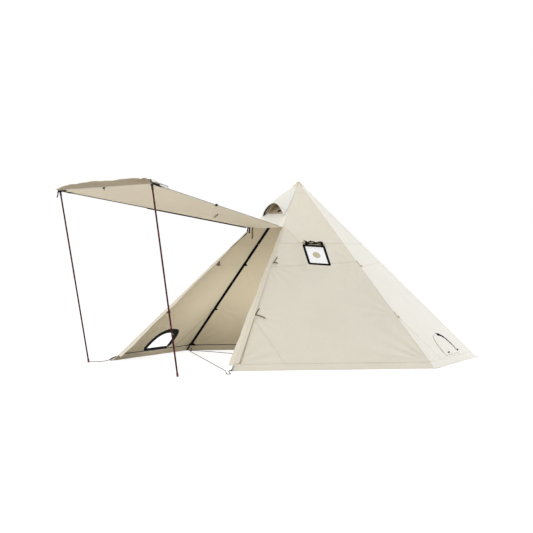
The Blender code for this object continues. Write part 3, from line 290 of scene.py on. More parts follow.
def woven(name, colour, roughness=0.85, pitch=0.0022, sheen=0.1, depth=0.0004, uneven=0.05, streak=0.03, gloss=0.5):
    """Plain-weave cloth: crossing threads, slubs, slow changes of colour, and patchy darkening: faint soiling on
    most cloths, painted fold shade on the door skirt.
    """
    made, tree, link, place, flat, base = start_material(name, colour, roughness, sheen=sheen, gloss=gloss)
    slow = noise(tree, place, Scale=1.6, Detail=3.0, Roughness=0.55)
    tint = ramp(tree, slow, 0.3, 0.7, 1 - uneven, 1 + uneven * 0.6)
    patchy = noise(tree, place, Scale=22.0, Detail=4.0, Roughness=0.6)
    spots = ramp(tree, patchy, 0.3, 0.7, 1 - streak, 1 + streak * 0.5)
    threads = tree.nodes.new("ShaderNodeMath")
    threads.operation = "MULTIPLY"
    for socket, direction in zip(threads.inputs, ("X", "Y")):
        wave = texture(tree, "Wave", flat, Scale=1 / pitch / 6.283 * 3.14159, Distortion=0.0)
        wave.bands_direction = direction
        tree.links.new(wave.outputs["Fac"], socket)
    slubs = bump(tree, noise(tree, place, Scale=90.0, Detail=3.0, Roughness=0.7), 0.35, 0.0012)
    link(Base_Color=mix(tree, "MULTIPLY", mix(tree, "MULTIPLY", base, tint), spots),
         Normal=bump(tree, threads.outputs[0], 0.5, depth, slubs),
         Roughness=ramp(tree, patchy, 0.2, 0.8, roughness - 0.06, roughness + 0.06))
    return made


def moulded(name, colour, roughness, metallic=0.0, coat=0.0, wear=0.12, gloss=0.5):
    """Moulded, painted or metal surface: fine grain, scuffs that lighten it, and uneven gloss."""
    made, tree, link, place, _, base = start_material(name, colour, roughness, metallic, coat, gloss=gloss)
    scuffs = noise(tree, place, Scale=38.0, Detail=6.0, Roughness=0.65)
    link(Base_Color=mix(tree, "MIX", base, lighter(base, 1.8, 0.03), ramp(tree, scuffs, 0.45, 0.75, 0.0, wear)),
         Roughness=ramp(tree, scuffs, 0.3, 0.7, roughness * 0.85, min(1.0, roughness * 1.2)),
         Normal=bump(tree, noise(tree, place, Scale=260.0, Detail=2.0), 0.25, 0.0002))
    return made


def braided(name, colour, other=None):
    """Twisted cord: slanting strands and a lighter fleck; it fades to another colour towards +X."""
    made, tree, link, place, _, base = start_material(name, colour, 0.8, sheen=0.1)
    light = lighter(base, 1.5, 0.02)
    if other:
        split = tree.nodes.new("ShaderNodeSeparateXYZ")
        tree.links.new(place, split.inputs[0])
        base = mix(tree, "MIX", base, linear(other), ramp(tree, split.outputs[0], -1.2, 1.0, 0.0, 1.0))
    strands = texture(tree, "Wave", place, Scale=60.0, Distortion=1.5, Detail=2.0)
    strands.bands_direction = "DIAGONAL"
    strands = strands.outputs["Fac"]
    shade = ramp(tree, strands, 0.0, 1.0, 0.85, 1.08)
    speck = ramp(tree, noise(tree, place, Scale=140.0, Detail=2.0), 0.6, 0.85, 0.0, 0.2)
    link(Base_Color=mix(tree, "MIX", mix(tree, "MULTIPLY", base, shade), light, speck),
         Normal=bump(tree, strands, 0.7, 0.0008))
    return made


def netting(name, colour):
    """Fine net: a grid of threads, with painted shade in the dark gaps between them."""
    made, tree, link, _, flat, base = start_material(name, colour, 0.9)
    cells = texture(tree, "Voronoi", flat, Scale=420.0, Randomness=0.15).outputs["Distance"]
    link(Base_Color=mix(tree, "MIX", lighter(base, 0.6, 0.0), base, ramp(tree, cells, 0.15, 0.5, 0.0, 1.0)),
         Normal=bump(tree, cells, 0.6, 0.0005))
    return made


CANVAS = woven("canvas", (228, 221, 205), uneven=0.03, streak=0.02)
# The front panel and hood: a lighter, cooler copy of the canvas, painted light on that lit face
CANVAS_FRONT_LIT = woven("canvas_front_painted_light", (236, 233, 224), uneven=0.03, streak=0.02)
# The canvas's inner side: the same cloth, its darker and warmer tan is painted shade
CANVAS_INSIDE_SHADE = woven("canvas_inside_painted_shade", (214, 200, 172), uneven=0.03, streak=0.02)
CANVAS_TRIM = woven("canvas_trim", (220, 210, 190), pitch=0.0016)
# Lighter cream for piping, rims and folds: partly the trim's own colour, partly painted highlight
CREAM_TRIM_AND_HIGHLIGHT = woven("cream_trim_and_painted_highlight", (242, 239, 231), pitch=0.0016)
# The awning's underside: a warmer tan copy of the canvas, painted shade
UNDERSIDE_SHADE = woven("awning_underside_painted_shade", (236, 223, 198), uneven=0.03, streak=0.02)
# The door skirt's underside: darker tan with strong patches and streaks, painted shade of its downturned folds
SKIRT_SHADE = woven("door_skirt_painted_shade", (176, 161, 134), uneven=0.16, streak=0.14)
# The hood's inner side: a darker, warmer copy of the canvas, painted shade
HOOD_INSIDE_SHADE = woven("hood_inside_painted_shade", (220, 207, 182))
# Tan trim, also used as painted shade under the placket and beside the vent flap's piping
TAN_TRIM_AND_SHADE = woven("tan_trim_and_painted_shade", (205, 190, 160), pitch=0.0016)
# A tan strip laid as the painted shadow beside the folded placket's free edge
PLACKET_SHADOW = woven("placket_painted_shadow", (196, 178, 144), pitch=0.0016)
STOVE_CLOTH = woven("stove_cloth", (254, 254, 253), 0.65, pitch=0.0014, sheen=0.0, uneven=0.01, streak=0.01)
STOVE_TAN = woven("stove_port_cloth", (202, 190, 160), 0.7, pitch=0.0014)
WEBBING = woven("webbing_black", (7, 7, 7), 0.9, pitch=0.0030, sheen=0.0, depth=0.0008, gloss=0.08)
WEBBING_GREY = woven("webbing_grey", (60, 55, 48), 0.8, pitch=0.0020, sheen=0.0)
WEBBING_BROWN = woven("webbing_brown", (112, 96, 74), 0.8, pitch=0.0020, sheen=0.0)
WEBBING_TAN = woven("webbing_tan", (176, 158, 122), 0.8, pitch=0.0030, depth=0.0008)
TAPE = woven("zip_tape_black", (9, 9, 9), 0.9, pitch=0.0012, sheen=0.0, gloss=0.08)
# The net's colour is the hood mouth's tone in shade: painted shade
NET = netting("vent_net", (190, 174, 148))
RED_TUBE = moulded("red_tube", (66, 5, 8), 0.5, coat=0.03, wear=0.02, gloss=0.15)
RED_FOOT = moulded("red_foot", (92, 14, 16), 0.5)
RED_BRIGHT = moulded("red_bright", (128, 48, 46), 0.45)
RUBBER = moulded("black_fitting", (18, 18, 19), 0.55)
SILVER = moulded("silver_buckle", (172, 174, 176), 0.35, metallic=0.9)
BLACK_METAL = moulded("black_metal", (24, 24, 26), 0.38, metallic=0.8)
CORD_TAN = braided("cord_tan", (88, 68, 34), (78, 75, 74))
CORD_BLACK = braided("cord_black", (12, 12, 12))


# Mesh making

def add_thing(name, data):
    thing = bpy.data.objects.new(name, data)
    bpy.context.scene.collection.objects.link(thing)
    return thing


def add_object(name, points, faces, looks, uvs=None, crease=False):
    mesh = bpy.data.meshes.new(name)
    mesh.from_pydata([tuple(point) for point in points], [], faces)
    mesh.update()
    mesh.shade_smooth()
    if crease:
        mesh.set_sharp_from_angle(angle=radians(35))
    for look in looks:
        mesh.materials.append(look)
    if uvs is not None:
        layer = mesh.uv_layers.new(name="flat")
        index = np.zeros(len(mesh.loops), int)
        mesh.loops.foreach_get("vertex_index", index)
        layer.data.foreach_set("uv", asarray(uvs, np.float32)[index].ravel())
    return add_thing(name, mesh)


def thicken(thing, thick, inner=1, offset=-1.0):
    """Gives a sheet its thickness; the inner side takes the look after the outer one."""
    if thick:
        change = thing.modifiers.new("thickness", "SOLIDIFY")
        change.thickness = thick
        change.offset = offset
        change.use_even_offset = False
        change.material_offset = inner
        thing.modifiers.new("even_normals", "WEIGHTED_NORMAL")
    return thing


def keep(thing, home=TENT, *nodes):
    """Gives a piece its body and the solids that it stands for."""
    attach(thing, home[0])
    if nodes:
        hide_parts(*nodes)
    return thing


def inside(points, loop):
    """Which points lie inside a closed outline."""
    x, y = points[:, 0], points[:, 1]
    found = np.zeros(len(points), bool)
    for (x1, y1), (x2, y2) in zip(loop, np.roll(loop, -1, axis=0)):
        if y1 != y2:
            found ^= ((y1 > y) != (y2 > y)) & (x < (x2 - x1) * (y - y1) / (y2 - y1) + x1)
    return found


def divide(loop, step):
    """An outline with points no further apart than a step."""
    made = []
    for one, two in zip(loop, np.roll(loop, -1, axis=0)):
        count = max(1, int(ceil(np.hypot(*(two - one)) / step)))
        made += [one + (two - one) * k / count for k in range(count)]
    return array(made)


def cut_sheet(name, outline, holes, place, step, looks, thick=CLOTH, hole_step=None):
    """A sheet of even triangles inside an outline and round its holes, laid by place(x, y)."""
    loops = [divide(array(outline, float), step)]
    loops += [divide(array(hole, float), hole_step or step) for hole in holes]

    def within(points):
        found = inside(points, loops[0])
        for loop in loops[1:]:
            found &= ~inside(points, loop)
        return found
    edge = np.concatenate(loops)
    tree = KDTree(len(edge))
    for i, point in enumerate(edge):
        tree.insert((*point, 0.0), i)
    tree.balance()
    low, high = loops[0].min(0), loops[0].max(0)
    rows = []
    for j, y in enumerate(np.arange(low[1], high[1], step * 0.866)):
        rows += [(x, y) for x in np.arange(low[0] + (j % 2) * step / 2, high[0], step)]
    grid = array(rows)
    grid = array([p for p in grid[within(grid)] if tree.find((*p, 0.0))[2] > step * 0.55])
    points = np.concatenate([edge, grid]) if len(grid) else edge
    edges, start = [], 0
    for loop in loops:
        edges += [(start + i, start + (i + 1) % len(loop)) for i in range(len(loop))]
        start += len(loop)
    made = delaunay_2d_cdt([Vector(p) for p in points], edges, [], 0, 1e-7)
    flat = array([tuple(p) for p in made[0]])
    faces = array([face for face in made[2] if len(face) == 3])
    faces = faces[within(flat[faces].mean(axis=1))]
    one, two, three = (flat[faces[:, k]] for k in range(3))
    turn = (two[:, 0] - one[:, 0]) * (three[:, 1] - one[:, 1]) - (two[:, 1] - one[:, 1]) * (three[:, 0] - one[:, 0])
    faces = [tuple(face) if t > 0 else tuple(face[::-1]) for face, t in zip(faces.tolist(), turn)]
    return thicken(add_object(name, place(flat[:, 0], flat[:, 1]), faces, looks, flat), thick, len(looks) - 1)


def grid_faces(count, wide, ring=False, flip=False):
    faces = []
    for i in range(count - 1):
        for j in range(wide if ring else wide - 1):
            a, b = i * wide + j, i * wide + (j + 1) % wide
            faces.append((a, b, b + wide, a + wide)[::-1 if flip else 1])
    return faces


def grid_sheet(name, rows, looks, thick=0.0, ring=False, caps=False, flip=False, crease=False, offset=-1.0):
    """Quads between rows of points; ring joins each row's last point to its first."""
    rows = asarray(rows, float)
    count, wide = rows.shape[:2]
    faces = grid_faces(count, wide, ring, flip)
    if caps:
        faces.append(tuple(range(wide))[::1 if flip else -1])
        faces.append(tuple(range((count - 1) * wide, count * wide))[::-1 if flip else 1])
    along, across = (np.concatenate([[0], np.cumsum(np.linalg.norm(np.diff(line, axis=0), axis=1))])
                     for line in (rows[:, wide // 2], rows[count // 2]))
    uvs = np.stack(np.meshgrid(across, along), axis=-1).reshape(-1, 2)
    return thicken(add_object(name, rows.reshape(-1, 3), faces, looks, uvs, crease), thick, len(looks) - 1, offset)


def bar(name, rows, look, home=TENT, *nodes, flip=False, crease=True, caps=True):
    """A closed bar whose rows are the outlines of its section."""
    return keep(grid_sheet(name, rows, [look], ring=True, caps=caps, flip=flip, crease=crease), home, *nodes)


def ring_normals(path, closed):
    """Unit normals of a flat path, to its left."""
    path = asarray(path, float)
    step = np.roll(path, -1, axis=0) - np.roll(path, 1, axis=0) if closed else np.gradient(path, axis=0)
    step = step / np.maximum(np.linalg.norm(step, axis=1, keepdims=True), 1e-9)
    return np.stack([-step[:, 1], step[:, 0]], axis=1)


def laid_strip(name, place, path, section, look, home=TENT, *nodes, closed=False):
    """Sweeps a section of (aside, off) along a flat path that place(x, y, w) lays on the cloth."""
    path, offs = asarray(path, float), array(section)
    rows = [place(point[0] + normal[0] * offs[:, 0], point[1] + normal[1] * offs[:, 0], offs[:, 1])
            for point, normal in zip(path, ring_normals(path, closed))]
    return bar(name, rows + rows[:1] if closed else rows, look, home, *nodes, caps=not closed)


def eased_section(half, low, shoulder, high, ease):
    return [(-half, low), (half, low), (half, shoulder), (half - ease, high), (-half + ease, high),
            (-half, shoulder)]


def flat_section(width, low, high):
    """A strap's section: flat, with its long edges eased."""
    ease = (high - low) * 0.25
    return eased_section(width / 2, low, high - ease, high, ease)


def box_section(half, low, high):
    return [(-half, low), (half, low), (half, high), (-half, high)]


def along_line(points, step):
    """Points every step along straight pieces."""
    points = [array(point, float) for point in points]
    made = [points[0]]
    for one, two in zip(points, points[1:]):
        count = max(1, int(ceil(np.linalg.norm(two - one) / step)))
        made += [one + (two - one) * k / count for k in range(1, count + 1)]
    return array(made)


def frames(path):
    """A side and a normal at each point of a path in space, turned as little as possible."""
    steps = np.gradient(path, axis=0)
    steps /= np.maximum(np.linalg.norm(steps, axis=1, keepdims=True), 1e-9)
    side = np.cross(steps[0], UP)
    if np.linalg.norm(side) < 0.1:
        side = np.cross(steps[0], (1.0, 0.0, 0.0))
    for step in steps:
        side = side - step * (side @ step)
        side = side / np.linalg.norm(side)
        yield side, np.cross(side, step)


def tube(name, path, radius, look, sides=10, home=TENT, nodes=()):
    """A round bar along a path in space, of one radius or of one for each point."""
    path = asarray(path, float)
    turns = [2 * pi * i / sides for i in range(sides)]
    radii = np.broadcast_to(radius, len(path))
    rows = [[point + (side * cos(t) + normal * sin(t)) * r for t in turns]
            for point, r, (side, normal) in zip(path, radii, frames(path))]
    return bar(name, rows, look, home, *nodes, crease=False)


def ribbon(name, path, width, thick, look, facing, home=AWNING_BLACK):
    """A strap in space whose flat side faces a given way."""
    path = asarray(path, float)
    rows = []
    for point, step in zip(path, np.gradient(path, axis=0)):
        step = step / max(np.linalg.norm(step), 1e-9)
        side = np.cross(step, asarray(facing, float))
        side = side / max(np.linalg.norm(side), 1e-9)
        normal = np.cross(side, step)
        rows.append([point + side * a + normal * b for a, b in flat_section(width, -thick / 2, thick / 2)])
    return bar(name, rows, look, home)


def smooth_curve(points, per_piece=8):
    """A rounded path through points."""
    points = asarray(points, float)
    padded = np.concatenate([[2 * points[0] - points[1]], points, [2 * points[-1] - points[-2]]])
    made = [0.5 * (2 * b + (c - a) * t + (2 * a - 5 * b + 4 * c - d) * t ** 2
                   + (3 * b - a - 3 * c + d) * t ** 3)
            for a, b, c, d in zip(padded, padded[1:], padded[2:], padded[3:])
            for t in np.arange(per_piece) / per_piece]
    return array(made + [points[-1]])


# Camera, floor and light

def pick_by_ray(owner, output_kind, plain, seen):
    """Shows one shader to the camera and in reflections, and another to all other rays."""
    tree = owner.node_tree
    path, either, pick, output = (tree.nodes.new(kind) for kind in (
        "ShaderNodeLightPath", "ShaderNodeMath", "ShaderNodeMixShader", output_kind))
    either.operation = "MAXIMUM"
    for source, socket in ((path.outputs["Is Camera Ray"], either.inputs[0]),
                           (path.outputs["Is Glossy Ray"], either.inputs[1]), (either.outputs[0], pick.inputs[0]),
                           (plain.outputs[0], pick.inputs[1]), (seen.outputs[0], pick.inputs[2]),
                           (pick.outputs[0], output.inputs["Surface"])):
        tree.links.new(source, socket)


def shader_node(owner, kind, **values):
    return set_inputs(owner.node_tree.nodes.new("Shader" + kind), **values)


def aim(thing, at, heading):
    thing.location = at
    thing.rotation_mode = "QUATERNION"
    thing.rotation_quaternion = Vector(heading).to_track_quat("-Z", "Y")


def make_stage():
    scene = bpy.context.scene
    camera_data = bpy.data.cameras.new("camera")
    camera_data.lens = CAMERA_LENS
    camera_data.sensor_width = 36.0
    camera_data.clip_start, camera_data.clip_end = 0.1, 200.0
    scene.camera = add_thing("camera", camera_data)
    aim(scene.camera, CAMERA_AT, CAMERA_ALONG)
    floor_look, world = bpy.data.materials.new("floor"), bpy.data.worlds.new("studio")
    scene.world = world
    for owner in (floor_look, world):
        owner.use_nodes = True
        owner.node_tree.nodes.clear()
    plain = shader_node(floor_look, "NodeBsdfDiffuse", Color=(0.80, 0.80, 0.79, 1))
    weak = shader_node(floor_look, "NodeBsdfDiffuse", Color=(0.30, 0.30, 0.30, 1))
    glow = shader_node(floor_look, "NodeEmission", Strength=0.86)
    both = shader_node(floor_look, "NodeAddShader")
    for source, socket in zip((weak, glow), both.inputs):
        floor_look.node_tree.links.new(source.outputs[0], socket)
    pick_by_ray(floor_look, "ShaderNodeOutputMaterial", plain, both)
    corners = [(x, y, -0.0004) for x, y in rectangle(90.0, 90.0)]
    add_object("floor", corners, [(0, 1, 2, 3)], [floor_look])
    dim = shader_node(world, "NodeBackground", Color=(1.0, 0.99, 0.97, 1), Strength=0.70)
    white = shader_node(world, "NodeBackground", Color=(1, 1, 1, 1), Strength=1.0)
    pick_by_ray(world, "ShaderNodeOutputWorld", dim, white)
    neutral, cool, inner = (1.0, 1.0, 1.0), (0.70, 0.80, 1.0), (0.90, 0.95, 1.0)
    middle = (0.0, 0.0, 0.9)
    for name, at, target, size, power, colour in (
            ("lamp_front", (-2.0, -10.0, 5.0), middle, 5.0, 280, neutral),
            ("lamp_right", (5.5, 9.0, 5.0), middle, 5.0, 600, cool),
            ("lamp_top", (0.5, -1.5, 8.5), middle, 6.0, 90, neutral),
            ("lamp_inside", (0.7, -0.25, 0.24), (-2.0, 0.95, 0.0), 0.6, 12, inner),
            ("lamp_corner", (-0.5, 0.05, 0.14), (-2.2, -0.25, 0.12), 0.6, 6.0, inner)):
        lamp_data = bpy.data.lights.new(name, "AREA")
        lamp_data.size, lamp_data.energy, lamp_data.color = size, power, colour
        lamp = add_thing(name, lamp_data)
        aim(lamp, at, Vector(target) - Vector(at))
        lamp.visible_camera = False
    scene.view_settings.view_transform = "Standard"


# Cords

def smooth_route(points, floor):
    route = [Vector(point) for point in points]
    steps = [after - before for before, after in zip(route, route[1:])]
    blends = [(one.normalized() / one.length + two.normalized() / two.length).normalized()
              for one, two in zip(steps, steps[1:])]
    headings = [steps[0].normalized(), *blends, steps[-1].normalized()]
    line = []
    for start, step, heading, leaving in zip(route, steps, headings, headings[1:]):
        pieces = 1 + int((heading.angle(step) + leaving.angle(step)) / BEND_STEP)
        for t in (k / pieces for k in range(pieces)):
            point = start + step * (3 - 2 * t) * t ** 2
            point += heading * step.length * t * (1 - t) ** 2 - leaving * step.length * t ** 2 * (1 - t)
            point.z = max(point.z, floor)
            line.append(point)
    return line + [route[-1]]


def skirt_side(degrees, height, off, across=0.0, corner=False):
    """Point off the outer side of a skirt's slope at a height; the degrees are those of its side or corner."""
    stretch = 1 / cos(pi / 6) if corner else 1.0
    run = (HEM_REACH - SKIRT_HEM - APOTHEM) * stretch / (FOOT_HEIGHT - CLOTH)
    lean = hypot(1, run)
    reach = APOTHEM * stretch + run * (FOOT_HEIGHT - height) + off / lean
    turn = radians(degrees)
    out, along = Vector((cos(turn), sin(turn), 0)), Vector((-sin(turn), cos(turn), 0))
    return out * reach + along * across + Vector((0, 0, 1)) * (height + off * run / lean)


def front_start():
    return [skirt_side(-60, height, GROUND_CORD / 2 + SEAT, corner=True) for height in CORD_START_HEIGHTS]


def sewn_end(face, across):
    """Last points of a ground cord, which rises from the ground to the inner side of a skirt."""
    points = [skirt_side(-90 + 60 * face, CORD_END_HEIGHT, off, across) for off in CORD_END_RISE]
    points[0].z = GROUND_CORD / 2 + SEAT
    return points


def make_cord(name, points, diameter, look, home):
    line = smooth_route(points, diameter / 2 + SEAT / 2)
    curve = bpy.data.curves.new(name, "CURVE")
    curve.dimensions = "3D"
    curve.bevel_depth = diameter / 2
    curve.bevel_resolution = 3
    curve.use_fill_caps = True
    spline = curve.splines.new("POLY")
    spline.points.add(len(line) - 1)
    for place, point in zip(spline.points, line):
        place.co = (*point, 1)
    spline.use_smooth = True
    curve.materials.append(look)
    thing = keep(add_thing(name + "_laid", curve), home, name)
    length = sum((after - before).length for before, after in zip(line, line[1:]))
    tuple(line[0])


def make_cords():
    cord = ("tent", "cord")
    front_end = sewn_end(LEFT_FRONT, -CORD_END_ACROSS)
    make_cord("ground_cord_front", front_start() + FRONT_CORD + front_end, GROUND_CORD, CORD_TAN, cord)
    left_end, right_end = sewn_end(LEFT_REAR, CORD_END_ACROSS)[::-1], sewn_end(RIGHT_FRONT, CORD_END_ACROSS)
    make_cord("ground_cord_cross", left_end + CROSS_CORD + right_end, GROUND_CORD, CORD_TAN, cord)
    start = Vector(TENSIONER_START)
    span = skirt_side(-120, TENSIONER_HEIGHT, TENSIONER_OFF, corner=True) - start
    axis = span.normalized()
    shares = linspace(0, 1, 15)
    radii = interp(shares, (0, 0.08, 0.35, 0.6, 0.85, 1), (0.0045, 0.0075, 0.0085, 0.0065, 0.0075, 0.004))
    path = [array(start + axis * span.length * share) for share in shares]
    hook = tube("tensioner", path, radii, RED_TUBE, 14, ("tent", "pole_tube"), ["foot_cord_tensioner"])
    band = tube("tensioner_band", path[5:9], 0.0092, RUBBER, 14, ("tent", "pole_fitting"))
    into = [start - axis * 0.035, start - axis * SEAT]
    make_cord("pole_foot_cord", FOOT_ROUTE + into, FOOT_CORD, CORD_TAN, cord)
    reach = AWNING_REACH - TIE_IN
    corner = Vector(awning_point(-awning_half(reach) - 2 * SEAT, reach))
    make_cord("awning_corner_tie", [corner + Vector(step) for step in CORNER_TIE], TIE_CORD, CORD_BLACK,
              AWNING_BLACK)


# Canopy

def vent_outline(grow=0.0, steps=44):
    turn = pi * np.arange(steps + 1) / steps
    power = 2 / VENT_CURVE
    x = VENT_WIDTH / 2 * np.sign(np.cos(turn)) * np.abs(np.cos(turn)) ** power
    y = VENT_HEIGHT * np.abs(np.sin(turn)) ** power
    points = np.stack([x, y], axis=1)
    normals = []
    for step in (points - np.roll(points, 1, axis=0), np.roll(points, -1, axis=0) - points):
        step /= np.linalg.norm(step, axis=1, keepdims=True)
        normals.append(np.stack([step[:, 1], -step[:, 0]], axis=1))
    middle = normals[0] + normals[1]
    middle /= np.linalg.norm(middle, axis=1, keepdims=True)
    return points + middle * (grow / np.maximum(0.35, (middle * normals[0]).sum(axis=1)))[:, None]


def arch_outline(half, low, high, steps=16):
    turns = [pi * i / steps for i in range(1, steps)]
    return [(-half, low), (half, low)] + [
        (half * cos(turn), low + (high - low) * (0.25 + 0.75 * sin(turn))) for turn in turns]


def rectangle(half_x, half_y):
    return [(-half_x, -half_y), (half_x, -half_y), (half_x, half_y), (-half_x, half_y)]


def make_walls():
    top = SLANT - PEAK_OPENING
    foot, tip = wall_half(0.0), wall_half(top)
    stove = [turned(x - STOVE_SKEW * y, y, STOVE_ACROSS, STOVE_UP, STOVE_TILT)
             for x, y in rectangle(*(size / 2 for size in STOVE_SIZE))]
    holes = {RIGHT_FRONT: [stove], LEFT_FRONT: [vent_outline() + array((VENT_LEFT_ACROSS, VENT_UP))],
             RIGHT_REAR: [vent_outline() + array((VENT_RIGHT_ACROSS, VENT_UP))]}
    for face in range(1, 6):
        outline = [(-foot, 0.0), (foot, 0.0), (tip, top), (-tip, top)]
        wall = cut_sheet(f"wall_{FACES[face]}_cloth", outline, holes.get(face, []), wall_place(face), 0.022,
                         [CANVAS, CANVAS_INSIDE_SHADE], hole_step=0.018)
        keep(wall, TENT, f"wall_{FACES[face]}")
    low = DOOR_TOP_UP + 0.0033
    outline = [(-wall_half(low), low), (wall_half(low), low), (tip, top), (-tip, top)]
    hole = arch_outline(MESH_HALF, SLANT - MESH_LOW_SLANT, SLANT - MESH_HIGH_SLANT)
    # The front's upper panel takes the painted light copy of the canvas outside and painted shade inside
    upper = cut_sheet("wall_front_upper_cloth", outline, [hole], wall_place(FRONT), 0.020,
                      [CANVAS_FRONT_LIT, CANVAS_INSIDE_SHADE])
    keep(upper, TENT, "wall_front_upper")


def skirt_rows(face, rows, columns):
    """A ground skirt: down its slope in soft waves, over the bend and along the ground to its hem."""
    out, along = face_axes(face)
    bend, bend_share = HEM_REACH - SKIRT_HEM, 0.72
    made = []
    for v in (i / rows for i in range(rows + 1)):
        line = []
        for s in (-1 + 2 * j / columns for j in range(columns + 1)):
            fade = float(smooth((1 - abs(s)) / 0.12))
            wave = (0.0030 * sin(s * 9 + face) + 0.0014 * sin(s * 23 + 2 * face)) * fade * 0.9
            if v < bend_share:
                t = v / bend_share
                z = FOOT_HEIGHT - (FOOT_HEIGHT - CLOTH) * t
                z += max(-z + CLOTH, wave * sin(pi * t))
                reach = APOTHEM + (bend - APOTHEM) * t + wave * t
            else:
                t = (v - bend_share) / (1 - bend_share)
                reach = bend + (HEM_REACH - bend) * t + wave
                z = CLOTH + 0.0025 * fade * (0.5 + 0.5 * sin(s * 41 + face)) * t
            line.append(out * reach + along * (HALF_TAN * reach * s) + UP * z)
        made.append(line)
    return made


def make_skirts():
    for face in range(1, 6):
        rows = skirt_rows(face, 14, 96)
        skirt = grid_sheet(f"skirt_{FACES[face]}_cloth", rows, [CANVAS, CANVAS_INSIDE_SHADE], CLOTH * 0.9, flip=True)
        keep(skirt, TENT, f"skirt_{FACES[face]}")
        tube(f"skirt_{FACES[face]}_hem", array(rows[-2]) + UP * 0.0006, 0.0016, CANVAS_TRIM, 6)
        out, along = face_axes(face)

        def place(x, y):
            x, y = spread(x, y)
            return out * (HEM_REACH + y) + along * x + UP * (0.0034 + 0.0015 * np.sin(y * 60))
        for side in PEG_LOOP_SIDES[face]:
            far = HALF_TAN * HEM_REACH - PEG_LOOP_INSET
            near, edge = far - PEG_LOOP_WIDTH, PEG_SLOT_EDGE
            outline, slot = ([(side * x, y) for x, y in ((one, low), (two, low), (two, high), (one, high))]
                             for one, two, low, high in ((near, far, -0.03, PEG_LOOP_OUT),
                                                         (near + edge, far - edge, 0.014, PEG_LOOP_OUT - edge)))
            keep(cut_sheet(f"peg_loop_{face}_{'left' if side < 0 else 'right'}", outline, [slot], place, 0.006,
                           [CANVAS_TRIM], 0.0022))


def make_peak_cap():
    """Six-sided cap with a rounded point and rolled seams over the walls' tips."""
    low, shoulder, lift, edge_lift, per_side = SLANT - CAP_SLANT, 0.034, 0.0023, 0.0006, 8
    rows = []
    for up in linspace(low, SLANT - shoulder, 12):
        off = edge_lift + (lift - edge_lift) * float(smooth((up - low) / 0.05))
        half = HALF_TAN * ((SLANT - up) * LEAN_UP + off * LEAN_OUT)
        sunk = 1 - float(smooth((up - low) / 0.12))
        rows.append([wall_point(face, s * half, up, off + float(drape(face, s * half, up)) * sunk)
                     for face in range(6) for s in (-1 + 2 * k / per_side for k in range(per_side))])
    top, reach = PEAK_HEIGHT + lift / LEAN_UP, shoulder * LEAN_UP + lift * LEAN_OUT
    last = array(rows[-1])
    for share in (0.86, 0.72, 0.56, 0.42, 0.28, 0.15, 0.05):
        ring = last * array((share, share, 0.0))
        lengths = np.hypot(ring[:, 0], ring[:, 1])
        ring[:, :2] *= (1 + (1 - share) * (reach * share * 1.06 / np.maximum(lengths, 1e-9) - 1))[:, None]
        ring[:, 2] = top - reach * LEAN_OUT / LEAN_UP * (0.30 + 0.70 * share ** 1.7)
        rows.append(ring)
    points = array(rows, np.float32).reshape(-1, 3)
    count, wide = len(rows), 6 * per_side
    faces = grid_faces(count, wide, ring=True) + [tuple(range((count - 1) * wide, count * wide))]
    cap = add_object("peak_cap_cloth", points.tolist(), faces, [CANVAS, CANVAS_INSIDE_SHADE], points[:, :2])
    keep(thicken(cap, 0.0018), TENT, "peak_cap")
    for face in range(6):
        path = [wall_point(face, HALF_TAN * ((SLANT - up) * LEAN_UP + lift * LEAN_OUT), up, lift)
                for up in linspace(SLANT - 0.085, SLANT - shoulder * 0.9, 8)]
        path += [path[-1] * array((0.6, 0.6, 1)) + UP * 0.012, path[-1] * array((0.3, 0.3, 1)) + UP * 0.018]
        tube(f"peak_seam_{face}", smooth_curve(path, 3), 0.0042, TAN_TRIM_AND_SHADE, 8)


def hood_point(share, turn, inset=0.0):
    """Point of the hood: share from its mouth to its top, turn over its arch from right to left."""
    foot = SLANT - HOOD_FOOT_SLANT + (HOOD_FOOT_SLANT - HOOD_TOP_SLANT) * share
    up = foot + HOOD_RIM_BACK * (1 - share) ** 1.5 * sin(turn)
    half = wall_half(up) - 0.004 - inset - HOOD_FOOT_IN * (1 - share) ** 3 * max(0.0, cos(turn))
    rise = HOOD_ARCH * (1 - share) ** HOOD_RISE_POWER + 0.004 - inset
    dent = 0.004 * sin(3 * turn + 4 * share) * share * (1 - share) * 4
    x = half * cos(turn) + (HOOD_ASIDE * sin(turn) + HOOD_NARROW * sin(2 * turn)) * (1 - share)
    return wall_point(FRONT, x, up, 0.0015 + (max(rise, 0.001) + dent) * sin(turn) ** 0.9)


